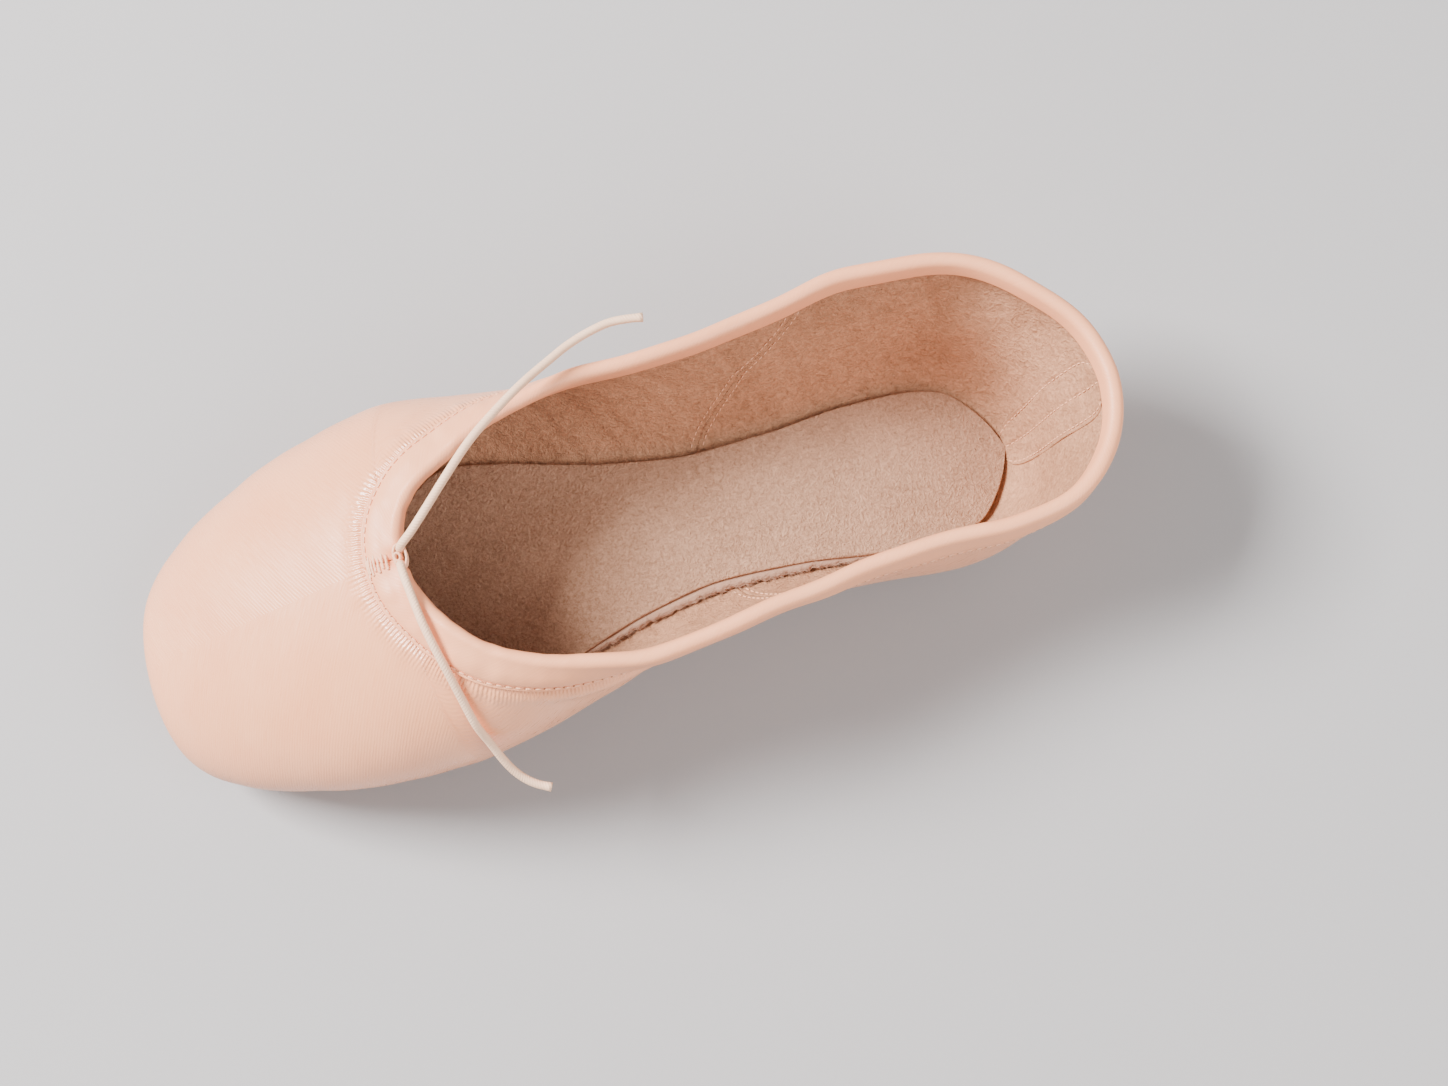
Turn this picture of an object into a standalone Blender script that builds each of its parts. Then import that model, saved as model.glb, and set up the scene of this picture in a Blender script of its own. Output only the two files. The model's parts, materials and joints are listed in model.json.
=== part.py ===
"""Satin pointe slipper, modelled as the pieces that a maker sews and glues together.

The slipper stands on its toe and its heel with the toe at -X, the heel at +X and Z up. Sizes below
are in millimetres and are turned to metres where a mesh is made. The shape is first laid out along a
straight sole (u from the toe to the heel, y to the right, z up from the sole line), then the sole line
is bent into its arch. Every layer of the upper is one skin, moved inwards by its own depth.
"""

import math

import bmesh
import bpy
import numpy as np
from mathutils import Vector
from mathutils.bvhtree import BVHTree

MM = 0.001
COLLECTION = "pointe_slipper"
SIDES = {"left": -1, "right": 1}

# The arch of the sole line.
ARCH = math.radians(29.3)
ARCH_FROM, ARCH_TO = 40.0, 205.0
TOE_PITCH = math.radians(14.57)
SPINE_STEP = 0.5
SPINE_END = 260.0

# The outer skin: half-widths and heights at stations along the sole.
THROAT = 85.5
HEEL_START, BACK = 205.0, 255.0
PLATFORM = -3.0
FEATHER_WIDTH = ((0, 12.5), (3, 17), (10, 23), (30, 31), (60, 37), (80, 37.5), (100, 33), (115, 28.5),
                 (130, 24.5), (150, 21.5), (170, 22), (190, 24.5), (205, 25))
SIDE_WIDTH = ((0, 17.3), (3, 24.4), (10, 30.7), (30, 39.4), (60, 46.1), (80, 47.4), (100, 44.4),
              (115, 40.5), (136, 34.5), (163, 31), (190, 33), (205, 33.5))
SIDE_HEIGHT = ((0, 14), (10, 16), (30, 19), (60, 22), (86, 24.5), (115, 25), (163, 24), (205, 28),
               (255, 30))
TOP_HEIGHT = ((0, 27), (3, 31), (10, 35), (30, 42.8), (60, 51), (85.5, 57), (92, 56.6), (100, 54),
              (115, 49.3), (136, 45.3), (163, 44.8), (190, 48.6), (212, 52.5), (232, 55), (255, 56.5))
TOP_WIDTH = ((130, 36.6), (163, 35.2), (190, 36), (205, 35.6))
TOP_FRONT_CENTRE = 130.0
UNDER_HEIGHT = ((0, 3), (6, 1.2), (16, 0.3), (30, 0), (255, 0))
WALL_FLARE = ((0, 0), (100, 0), (120, 0.12), (150, 0.3), (180, 0.25), (205, 0.12), (255, 0.1))
TOP_LEAN = ((0, 0), (85.5, 0), (100, -3.1), (115, -2.7), (136, -2.2), (163, 1.5), (190, 5.4),
            (212, 4), (232, 0.5), (255, 0))
HEEL_REACH = {"margin": 16.5, "feather": 28.0, "side": 33.0, "top": 39.5}
UNDER_FLAT = 0.62
TIP_CREASE = 1.5
CORNER_PULL = 1.08
ROUNDNESS = 1.08

# Layers of the upper, as depths below the outer skin.
GAP = 0.3
SATIN, CANVAS, CUP, LINING, STAY = 0.6, 0.8, 1.5, 0.8, 0.5
SATIN_DEPTH = ((-3, 0), (255, 0))
CANVAS_DEPTH = ((-3, 0.9), (67, 0.9))
CUP_DEPTH = ((-3, 2.1), (60, 2.1))
LINING_DEPTH = ((-3, 3.9), (60, 3.9), (67, 2.0), (74, 0.9), (255, 0.9))
STAY_DEPTH = ((247, 2), (255, 2))
BLOCK_DEPTH, PAD_DEPTH = 4.1, 4.5

# Where the pieces of the upper begin and end along the sole.
TOE_LINES = (-3, -1.5, 0, 3, 6, 10, 16, 24, 32, 42, 52, 60)
BALL_LINES = (67, 74, 80, 85.5, 86, 87.5, 90.5, 95, 101, 108, 116, 125, 135)
QUARTER_LINES = (156, 168, 180, 192, 205, 212, 219, 226, 233, 240, 247.5)
SATIN_SEAM, LINING_SEAM = 145.0, 148.0
LINING_START, BACK_GAP = 16.0, 0.2
BLOCK_LINES, PAD_LINES = (3, 6, 10), (11.2, 13.4)
STAY_HALF = 8.0
RIB_LINES = (0, 1, 1.33, 1.66, 2, 2.25, 2.5, 2.7, 2.86, 3)
STAY_RIB_LINES = (1.66, 2, 2.25, 2.5, 2.7)

# The sole, as flat plates on the bent sole line: outline half-widths, then bottom and top.
OUTSOLE = ((26, 0), (28, 6), (32, 10.5), (40, 15.3), (52, 19), (68, 21.5), (85, 21.5), (105, 18),
           (125, 14.5), (150, 12.5), (175, 14), (200, 17), (212, 16), (220, 12), (224.5, 6), (226, 0))
SOCK = ((62, 0), (64, 11), (70, 22), (78, 30), (86, 32.4), (100, 29.4), (115, 24.4), (130, 20.2),
        (150, 17.2), (170, 18), (190, 20.3), (205, 20.7), (217, 16.8), (224, 10.5), (227, 5), (228, 0))
SHANK = ((76, 0), (78, 12), (82, 18), (88, 20), (100, 18.5), (115, 16), (130, 13.5), (150, 11.8),
         (170, 12.5), (190, 14.5), (205, 15), (215, 12.5), (220, 7), (222.5, 0))
OUTSOLE_Z, FILLER_Z, SHANK_Z = (-1.9, -0.3), (0.0, 1.6), (2.1, 3.7)
HALF_SHANK_Z, SOCK_Z = (4.0, 4.7), (5.0, 5.8)
MARGIN = 4.5
FILLER_SPAN, HALF_SHANK_SPAN = (34.0, 216.0), (118.0, 219.0)
FILLER_INSET, HALF_SHANK_INSET = 0.6, 1.0
PLATE_STEPS, PLATE_SQUARENESS, PLATE_LEAST = 28, 20, 0.6

# The casing and its drawstring.
CORD = 2.1
CASING_WALL = 0.6
CASING_OUTSIDE, CASING_INSIDE = 7.0, 5.0
CASING_SLIT = 7.4
INNER_GAP = 0.65
CORD_CENTRE, CORD_HEIGHT = -0.85, 1.5
RING_STATIONS, ROLL_STEPS = 62, 5
EDGE_STEPS, TREE_STATIONS, TREE_LINES = 401, 191, 49
BARTACK, BARTACK_BACK, BARTACK_EDGE = (1.6, 8.0, 0.9), 5.5, 0.25
CORD_ROUTES = {
    "left": ((87.4, -1.5, 56.4), (87.9, -1.9, 59.2), (88.4, -4.8, 60.6), (89.0, -11.0, 60.4),
             (89.7, -17.4, 60.2), (90.4, -24.5, 57.8), (90.8, -30.7, 54.0), (90.8, -36.2, 49.3),
             (90.7, -42.0, 43.6), (90.8, -46.0, 36.8), (91.3, -50.3, 31.5), (92.6, -54.0, 27.8),
             (95.0, -57.0, 25.4), (98.5, -59.2, 24.0)),
    "right": ((87.4, 1.5, 56.4), (88.2, 1.8, 59.0), (91.6, 3.8, 61.2), (96.0, 8.0, 62.2),
              (102.0, 14.6, 62.8), (107.5, 21.2, 61.6), (113.1, 26.9, 59.4), (118.6, 32.0, 57.0),
              (124.7, 36.6, 54.6), (130.7, 40.3, 53.2), (138.1, 42.5, 52.6), (144.6, 41.5, 53.0)),
}
CORD_POINTS, ROUTE_STEPS = 22, 20

# Colours as linear red, green, blue, with roughness.
FINISHES = {
    "satin": ((0.86, 0.60, 0.45), 0.35),
    "lining": ((0.66, 0.40, 0.27), 0.9),
    "casing": ((0.88, 0.62, 0.47), 0.6),
    "cord": ((0.85, 0.74, 0.62), 0.7),
    "canvas": ((0.62, 0.50, 0.34), 0.9),
    "paste": ((0.55, 0.42, 0.28), 0.8),
    "felt": ((0.72, 0.66, 0.58), 0.95),
    "board": ((0.45, 0.22, 0.12), 0.8),
    "sock": ((0.58, 0.38, 0.26), 0.95),
    "outsole": ((0.60, 0.40, 0.26), 0.85),
    "thread": ((0.84, 0.58, 0.44), 0.6),
}


def smooth(table, x):
    """The value at x of a monotone cubic through a table of (station, value) pairs."""
    xs, ys = np.array(table, float).T
    x = min(max(x, xs[0]), xs[-1])
    i = min(int(np.searchsorted(xs, x, side="right")) - 1, len(xs) - 2)
    steps = np.diff(xs)
    slopes = np.diff(ys) / steps

    def slope_at(k):
        if k in (0, len(xs) - 1):
            return slopes[min(k, len(slopes) - 1)]
        before, after = slopes[k - 1], slopes[k]
        if before * after <= 0:
            return 0.0
        near, far = 2 * steps[k] + steps[k - 1], steps[k] + 2 * steps[k - 1]
        return (near + far) / (near / before + far / after)

    f = (x - xs[i]) / steps[i]
    start, end = slope_at(i) * steps[i], slope_at(i + 1) * steps[i]
    return float(ys[i] * (1 + 2 * f) * (1 - f) ** 2 + start * f * (1 - f) ** 2
                 + ys[i + 1] * f * f * (3 - 2 * f) + end * f * f * (f - 1))


def spine_table():
    """Places and slopes of the bent sole line, one row each half millimetre."""
    u = np.arange(-10, SPINE_END, SPINE_STEP)
    share = np.clip((u - ARCH_FROM) / (ARCH_TO - ARCH_FROM), 0, 1)
    slope = TOE_PITCH - ARCH * (1 - np.cos(np.pi * share)) / 2
    x = np.cumsum(np.cos(slope)) * SPINE_STEP
    z = np.cumsum(np.sin(slope)) * SPINE_STEP
    toe = np.argmin(abs(u))
    return u, x - x[toe], z - z[toe], slope


SPINE = spine_table()


def bent(point):
    """A point of the straight layout, moved onto the bent sole line."""
    u, y, z = point
    x, height, slope = (np.interp(u, SPINE[0], column) for column in SPINE[1:])
    return Vector((x - z * math.sin(slope), y, height + z * math.cos(slope)))


def top_width(s):
    """Half-width of the upper's top edge; it is nil in front of the throat."""
    if s <= THROAT:
        return 0.0
    if s >= TOP_FRONT_CENTRE:
        return smooth(TOP_WIDTH, s)
    reach = (TOP_FRONT_CENTRE - s) / (TOP_FRONT_CENTRE - THROAT)
    return TOP_WIDTH[0][1] * math.sqrt(1 - reach * reach)


def margin_width(s):
    """Half-width of the gap that the turned-in margins leave under the foot."""
    return max(0.0, smooth(OUTSOLE, s) - MARGIN) if s > OUTSOLE[0][0] else 0.0


def bezier(a, b, c, d, f):
    g = 1 - f
    return a * g ** 3 + b * 3 * g * g * f + c * 3 * g * f * f + d * f ** 3


def rib(s, t):
    """Width, heel reach and height of the outer skin.

    t runs from the turned-in margin (0) over the edge of the flat underside (1) and the widest
    point of the side (2) to the top edge or the ridge of the vamp (3).
    """
    flat = min(s, HEEL_START)
    foot, side, top = smooth(FEATHER_WIDTH, flat), smooth(SIDE_WIDTH, flat), top_width(flat)
    under, middle, height = smooth(UNDER_HEIGHT, s), smooth(SIDE_HEIGHT, s), smooth(TOP_HEIGHT, s)
    reach = HEEL_REACH
    flare = smooth(WALL_FLARE, s)
    inner = np.array((min(margin_width(flat), UNDER_FLAT * foot), reach["margin"], under))
    edge = np.array((UNDER_FLAT * foot, UNDER_FLAT * reach["feather"], under))
    corner = np.array((CORNER_PULL * foot, CORNER_PULL * reach["feather"], under))
    widest = np.array((side, reach["side"], middle))
    crown = np.array((top, reach["top"], height))
    if t <= 1:
        return inner + (edge - inner) * t
    drop = UNDER_FLAT * (middle - under)
    if t <= 2:
        return bezier(edge, corner, widest - drop * np.array((flare, flare, 1)), widest, t - 1)
    sweep = max(math.acos(min(top / side, 1)), 0.05)
    fullness = 1 + (ROUNDNESS - 1) * (sweep / (math.pi / 2)) ** 2
    pull = fullness * 4 / 3 * math.tan(sweep / 4)
    rise = (height - middle) / math.sin(sweep)
    low = widest + pull * rise * np.array((flare, flare, 1))
    high = crown + pull * np.array((side * math.sin(sweep), 0, -rise * math.cos(sweep)))
    high[:2] -= flare * pull * rise * 0.4
    return bezier(widest, low, high, crown, t - 2)


def laid(side, s, t):
    """A point of the outer skin in the straight layout."""
    width, reach, z = rib(max(s, 0), t)
    turn = max(0.0, (s - HEEL_START) / (BACK - HEEL_START)) * math.pi / 2
    if s < 0:
        size, centre = 1 - s / PLATFORM, (rib(0, 0)[2] + rib(0, 3)[2]) / 2
        width, z = width * size, centre + (z - centre) * size
    lean = smooth(TOP_LEAN, s) * (z / smooth(TOP_HEIGHT, s)) ** 2
    return min(max(s, 0), HEEL_START) + reach * math.sin(turn), side * width * math.cos(turn) + lean, z


def skin(side, s, t, depth=0.0):
    """A point on the bent upper, this deep below its outer face."""
    here = bent(laid(side, s, t))
    if depth == 0:
        return here
    if s <= PLATFORM:
        slope = SPINE[3][0]
        return here + depth * Vector((math.cos(slope), 0, math.sin(slope)))
    ds, dt = 0.25, 0.02
    low_t, high_t = max(t - dt, 0), min(t + dt, 3)
    along = bent(laid(side, min(s + ds, BACK), t)) - bent(laid(side, s - ds, t))
    up = bent(laid(side, s, high_t)) - bent(laid(side, s, low_t))
    normal = up.cross(along) * side
    if (t == 3 and s < THROAT + ds) or (t == 0 and s < OUTSOLE[0][0] + ds):
        normal.y = 0
    if s >= BACK:
        normal.y = 0
    if s == 0 and t <= 1:
        depth *= TIP_CREASE
    return here - depth * normal.normalized()


def settle():
    """How far the bent shape is moved so that its origin is under its middle."""
    s_lines = TOE_LINES + BALL_LINES + QUARTER_LINES + (BACK,)
    outline = [skin(side, s, t) for side in (-1, 1) for s in s_lines for t in RIB_LINES]
    outline += [bent((u, 0, OUTSOLE_Z[0])) for u, width in OUTSOLE if width > 0]
    outline.append(skin(1, BACK, 3, -CORD_HEIGHT))
    low = [min(point[i] for point in outline) for i in range(3)]
    high = [max(point[i] for point in outline) for i in range(3)]
    return Vector(((low[0] + high[0]) / 2, (low[1] + high[1]) / 2, low[2]))


ORIGIN = settle()


def metres(point):
    return (Vector(point) - ORIGIN) * MM


def material(finish):
    """The named finish, made once."""
    if finish not in bpy.data.materials:
        colour, roughness = FINISHES[finish]
        made = bpy.data.materials.new(finish)
        made.use_nodes = True
        shader = made.node_tree.nodes["Principled BSDF"]
        shader.inputs["Base Color"].default_value = (*colour, 1)
        shader.inputs["Roughness"].default_value = roughness
    return bpy.data.materials[finish]


def add_object(name, data, finish, location=(0, 0, 0)):
    obj = bpy.data.objects.new(name, data)
    obj.location = location
    data.materials.append(material(finish))
    bpy.data.collections[COLLECTION].objects.link(obj)
    return obj


def add_mesh(name, points, faces, finish):
    """A mesh of these faces, with the points that coincide made one."""
    data = bpy.data.meshes.new(name)
    shape = bmesh.new()
    made = [shape.verts.new(metres(point)) for point in points]
    for face in faces:
        shape.faces.new([made[i] for i in face])
    bmesh.ops.remove_doubles(shape, verts=shape.verts, dist=1e-6)
    bmesh.ops.dissolve_degenerate(shape, edges=shape.edges, dist=1e-6)
    shape.to_mesh(data)
    shape.free()
    data.shade_smooth()
    return add_object(name, data, finish)


def grid_faces(rows, columns, first=0, turned=False):
    """Quads of a grid whose points are listed row by row."""
    faces = []
    for i in range(rows - 1):
        for j in range(columns - 1):
            a = first + i * columns + j
            quad = (a, a + 1, a + columns + 1, a + columns)
            faces.append(quad[::-1] if turned else quad)
    return faces


def add_shell(name, finish, sides, s_lines, depths, thickness, t_lines=RIB_LINES):
    """A sheet that follows the upper at these depths, given its thickness by Solidify."""
    points, faces = [], []
    for side in sides:
        faces += grid_faces(len(s_lines), len(t_lines), len(points), turned=side < 0)
        points += [skin(side, s, t, smooth(depths, s)) for s in s_lines for t in t_lines]
    shell = add_mesh(name, points, faces, finish)
    solidify = shell.modifiers.new("thickness", "SOLIDIFY")
    solidify.thickness = thickness * MM
    solidify.offset = -1
    return shell


def add_drum(name, finish, s_lines, depth):
    """A block that fills the box between two stations."""
    loop = [(-1, t) for t in RIB_LINES[:-1]] + [(1, t) for t in RIB_LINES[::-1][:-1]]
    points = [skin(side, s, t, depth) for s in s_lines for side, t in loop]
    count = len(loop)
    faces = [tuple(range(count)), tuple(range(len(points) - 1, len(points) - 1 - count, -1))]
    for i in range(len(s_lines) - 1):
        for j in range(count):
            k = (j + 1) % count
            faces.append((i * count + k, i * count + j, (i + 1) * count + j, (i + 1) * count + k))
    return add_mesh(name, points, faces, finish)


def add_plate(name, finish, outline, span, inset, levels):
    """A flat plate on the bent sole line, with rounded ends."""
    start, end = span
    middle, half = (start + end) / 2, (end - start) / 2
    turns = [math.pi * i / PLATE_STEPS for i in range(1, PLATE_STEPS)]
    stations = [middle - half * math.cos(turn) for turn in turns]
    points = []
    for u in stations:
        room = math.sqrt(1 - ((u - middle) / half) ** PLATE_SQUARENESS)
        width = max(PLATE_LEAST, (smooth(outline, u) - inset) * room)
        points += [bent((u, y, z)) for y, z in ((-width, levels[0]), (width, levels[0]),
                                                (width, levels[1]), (-width, levels[1]))]
    faces = [(3, 2, 1, 0), tuple(range(len(points) - 4, len(points)))]
    for i in range(len(stations) - 1):
        for j in range(4):
            k = (j + 1) % 4
            faces.append((4 * i + j, 4 * i + k, 4 * i + 4 + k, 4 * i + 4 + j))
    return add_mesh(name, points, faces, finish)


def skin_tree():
    """The outer skin as a fine surface to lay things on."""
    points, faces = [], []
    s_lines = np.linspace(PLATFORM, BACK, TREE_STATIONS)
    t_lines = np.linspace(0, 3, TREE_LINES)
    for side in (-1, 1):
        faces += grid_faces(len(s_lines), len(t_lines), len(points), turned=side < 0)
        points += [skin(side, s, t) for s in s_lines for t in t_lines]
    return BVHTree.FromPolygons(points, faces)


def top_edge():
    """Evenly spaced places along the top edge, from the throat round the heel and back."""
    turns = np.linspace(0, math.pi / 2, EDGE_STEPS)
    half = [THROAT + (TOP_FRONT_CENTRE - THROAT) * (1 - math.cos(turn)) for turn in turns]
    half += list(np.linspace(TOP_FRONT_CENTRE, BACK, EDGE_STEPS)[1:])
    line = [skin(-1, s, 3) for s in half] + [skin(1, s, 3) for s in half[::-1][1:]]
    runs = np.cumsum([0.0] + [(b - a).length for a, b in zip(line, line[1:])])
    wanted = np.linspace(CASING_SLIT / 2, runs[-1] - CASING_SLIT / 2, RING_STATIONS)
    place = np.array([[np.interp(run, runs, [point[i] for point in line]) for i in range(3)]
                      for run in wanted])
    return [Vector(point) for point in place]


def edge_frames(tree):
    """At each place on the top edge: the place, the way out of the skin and the way off its edge."""
    line = top_edge()
    frames = []
    for i, here in enumerate(line):
        ahead = line[min(i + 1, len(line) - 1)] - line[max(i - 1, 0)]
        inside = Vector((0, 0, 1)).cross(ahead).normalized()
        _, out, _, _ = tree.find_nearest(here - inside * 0.6)
        out = (out - out.dot(ahead.normalized()) * ahead.normalized()).normalized()
        off = ahead.normalized().cross(out)
        if off.dot(inside) + off.z * 0.5 < 0:
            off = -off
        frames.append((here, out, off))
    return frames


def on_edge(tree, frame, out, up):
    """A point beside the top edge, out from the skin and up off its edge; below it, on the skin."""
    here, normal, off = frame
    if up >= 0:
        return here + out * normal + up * off
    place, under, _, _ = tree.find_nearest(here + up * off)
    return place + out * under.lerp(normal, 0.5).normalized()


def casing_section():
    """Outline of the folded casing as (out, up), round its cord."""
    leg_out, leg_in = GAP + CASING_WALL, 2 * CORD_CENTRE - INNER_GAP - CASING_WALL
    bore, centre = CORD / 2 + GAP + 0.05, CORD_HEIGHT
    outline = [(leg_out, -CASING_OUTSIDE), (leg_out, -CASING_OUTSIDE / 2), (leg_out + 0.05, -0.4)]
    turns = [math.pi * i / ROLL_STEPS for i in range(ROLL_STEPS + 1)]
    roll = bore + CASING_WALL
    outline += [(CORD_CENTRE + roll * math.cos(a), centre + roll * math.sin(a)) for a in turns]
    outline += [(leg_in, -0.4), (leg_in, -CASING_INSIDE), (leg_in + CASING_WALL, -CASING_INSIDE),
                (leg_in + CASING_WALL, -0.4)]
    outline += [(CORD_CENTRE + bore * math.cos(a), centre + bore * math.sin(a)) for a in turns[::-1]]
    outline += [(GAP, -0.4), (GAP, -CASING_OUTSIDE / 2), (GAP, -CASING_OUTSIDE)]
    return outline


def add_casing(tree, frames):
    section = casing_section()
    count = len(section)
    points = [on_edge(tree, frame, out, up) for frame in frames for out, up in section]
    faces = []
    for i in range(len(frames) - 1):
        for j in range(count):
            k = (j + 1) % count
            faces.append((i * count + j, i * count + k, (i + 1) * count + k, (i + 1) * count + j))
    half = count // 2
    for first, turned in ((0, False), (count * (len(frames) - 1), True)):
        for j in range(half - 1):
            quad = (first + j, first + count - 1 - j, first + count - 2 - j, first + j + 1)
            faces.append(quad[::-1] if turned else quad)
    casing = add_mesh("drawstring_casing", points, faces, "casing")
    shape = bmesh.new()
    shape.from_mesh(casing.data)
    bmesh.ops.recalc_face_normals(shape, faces=shape.faces)
    shape.to_mesh(casing.data)
    shape.free()


def add_cord(name, points):
    """A round cord along these points."""
    curve = bpy.data.curves.new(name, "CURVE")
    curve.dimensions = "3D"
    curve.bevel_depth = CORD / 2 * MM
    curve.bevel_resolution = 2
    curve.use_fill_caps = True
    spline = curve.splines.new("POLY")
    spline.points.add(len(points) - 1)
    for target, point in zip(spline.points, points):
        target.co = (*metres(point), 1)
    return add_object(name, curve, "cord")


def eased(route, count):
    """Evenly spaced points on a smooth curve through a route's own points."""
    ends = [2 * route[0] - route[1], *route, 2 * route[-1] - route[-2]]
    fine = []
    for a, b, c, d in zip(ends, ends[1:], ends[2:], ends[3:]):
        for f in np.arange(ROUTE_STEPS) / ROUTE_STEPS:
            fine.append(0.5 * (2 * b + (c - a) * f + (2 * a - 5 * b + 4 * c - d) * f * f
                               + (3 * b - a - 3 * c + d) * f ** 3))
    fine.append(route[-1])
    runs = np.cumsum([0.0] + [(b - a).length for a, b in zip(fine, fine[1:])])
    return [Vector([np.interp(run, runs, [point[i] for point in fine]) for i in range(3)])
            for run in np.linspace(0, runs[-1], count)]


def add_bartack():
    """A bar of stitches across the slit at the throat."""
    here = skin(1, THROAT - BARTACK_BACK, 3, -(GAP + CASING_WALL + GAP + BARTACK[2] / 2))
    slope = (skin(1, THROAT, 3) - skin(1, THROAT - 10, 3)).normalized()
    data = bpy.data.meshes.new("throat_bartack")
    shape = bmesh.new()
    bmesh.ops.create_cube(shape, size=1)
    bmesh.ops.scale(shape, vec=Vector(BARTACK) * MM, verts=shape.verts)
    shape.to_mesh(data)
    shape.free()
    bar = add_object("throat_bartack", data, "thread", metres(here))
    bar.rotation_euler = (0, -math.atan2(slope.z, slope.x), 0)
    bevel = bar.modifiers.new("round", "BEVEL")
    bevel.width = BARTACK_EDGE * MM
    bevel.segments = 2


def add_upper():
    """The satin, the stiff box and the lining."""
    toe, ball = TOE_LINES, BALL_LINES
    add_shell("satin_vamp", "satin", (-1, 1), toe + ball + (SATIN_SEAM - GAP / 2,), SATIN_DEPTH, SATIN)
    add_shell("box_canvas", "canvas", (-1, 1), toe + ball[:1], CANVAS_DEPTH, CANVAS)
    add_shell("box_cup", "paste", (-1, 1), toe, CUP_DEPTH, CUP)
    add_drum("platform_block", "paste", BLOCK_LINES, BLOCK_DEPTH)
    add_drum("toe_pad", "felt", PAD_LINES, PAD_DEPTH)
    lining_lines = tuple(s for s in toe if s >= LINING_START) + ball + (LINING_SEAM - GAP / 2,)
    add_shell("vamp_lining", "lining", (-1, 1), lining_lines, LINING_DEPTH, LINING)
    for name, side in SIDES.items():
        satin_lines = (SATIN_SEAM + GAP / 2, *QUARTER_LINES, BACK - BACK_GAP)
        add_shell(f"satin_quarter_{name}", "satin", (side,), satin_lines, SATIN_DEPTH, SATIN)
        inner_lines = (LINING_SEAM + GAP / 2, *QUARTER_LINES, BACK - BACK_GAP)
        add_shell(f"quarter_lining_{name}", "lining", (side,), inner_lines, LINING_DEPTH, LINING)
    stay_lines = (BACK - STAY_HALF, BACK)
    add_shell("heel_stay", "lining", (-1, 1), stay_lines, STAY_DEPTH, STAY, STAY_RIB_LINES)


def add_sole():
    """Outsole, filler, shanks and sock liner, from the ground up."""
    add_plate("outsole", "outsole", OUTSOLE, (OUTSOLE[0][0], OUTSOLE[-1][0]), 0, OUTSOLE_Z)
    add_plate("sole_filler", "felt", OUTSOLE, FILLER_SPAN, MARGIN + FILLER_INSET, FILLER_Z)
    add_plate("shank", "board", SHANK, (SHANK[0][0], SHANK[-1][0]), 0, SHANK_Z)
    add_plate("half_shank", "board", SHANK, HALF_SHANK_SPAN, HALF_SHANK_INSET, HALF_SHANK_Z)
    add_plate("sock_liner", "sock", SOCK, (SOCK[0][0], SOCK[-1][0]), 0, SOCK_Z)


def add_drawstring():
    """The casing, the cord inside it and its two free ends."""
    tree = skin_tree()
    frames = edge_frames(tree)
    add_casing(tree, frames)
    add_cord("drawstring_loop", [on_edge(tree, frame, CORD_CENTRE, CORD_HEIGHT) for frame in frames])
    for name, route in CORD_ROUTES.items():
        points = [bent(point) for point in route]
        add_cord(f"drawstring_end_{name}", eased(points, CORD_POINTS))
    add_bartack()


def main():
    for obj in list(bpy.data.objects):
        bpy.data.objects.remove(obj, do_unlink=True)
    bpy.context.scene.collection.children.link(bpy.data.collections.new(COLLECTION))
    add_upper()
    add_sole()
    add_drawstring()


main()
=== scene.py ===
"""The looks of a satin pointe slipper: satin, suede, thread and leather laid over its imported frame.

The slipper is laid out along a straight sole, in millimetres: s runs from the toe to the heel, t runs
up the side from the turned-in margin (0) over the edge of the flat underside (1) and the widest point
(2) to the mouth or the ridge of the vamp (3). The sole line is then bent into its arch, as the frame is.
"""

import json
import logging
import math
from collections.abc import Callable
from dataclasses import dataclass, field
from enum import Enum
from functools import cached_property

import bmesh
import bpy
import numpy as np
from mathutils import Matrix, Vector
from mathutils.bvhtree import BVHTree
from mathutils.kdtree import KDTree


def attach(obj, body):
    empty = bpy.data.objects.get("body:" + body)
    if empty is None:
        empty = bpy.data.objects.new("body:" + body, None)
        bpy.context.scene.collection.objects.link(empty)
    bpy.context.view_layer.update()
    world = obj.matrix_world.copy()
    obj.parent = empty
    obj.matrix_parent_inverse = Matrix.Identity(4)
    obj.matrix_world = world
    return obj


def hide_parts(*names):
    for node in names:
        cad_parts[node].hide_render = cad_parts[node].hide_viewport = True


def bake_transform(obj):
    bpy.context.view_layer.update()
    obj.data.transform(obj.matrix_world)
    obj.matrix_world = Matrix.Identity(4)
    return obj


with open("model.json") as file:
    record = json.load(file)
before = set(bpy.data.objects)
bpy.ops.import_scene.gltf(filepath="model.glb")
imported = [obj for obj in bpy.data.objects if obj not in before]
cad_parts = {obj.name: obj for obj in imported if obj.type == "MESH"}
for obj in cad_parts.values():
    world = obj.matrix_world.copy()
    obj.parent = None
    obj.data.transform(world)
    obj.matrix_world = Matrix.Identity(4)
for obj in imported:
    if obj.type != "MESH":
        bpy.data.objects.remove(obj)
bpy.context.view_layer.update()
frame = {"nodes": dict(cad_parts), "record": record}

Array = np.ndarray
Table = tuple[tuple[float, float], ...]
MM = 0.001
TOE_BODY, HEEL_BODY = "toe_box", "heel_part"
BLEND_SPAN, BLEND_HEIGHT = (65.0, 125.0), 30.0
log = logging.getLogger("pointe_slipper")


class Side(Enum):
    """The wearer's side of the slipper, as the sign of Y."""

    LEFT = -1
    RIGHT = 1


class Reads(Enum):
    """What a finish's pattern follows."""

    CLOTH = "cloth"
    PLACE = "place"


class Unit(Enum):
    """The small thing that is repeated along a path."""

    STITCH = "stitch"
    FIBRE = "fibre"


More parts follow.
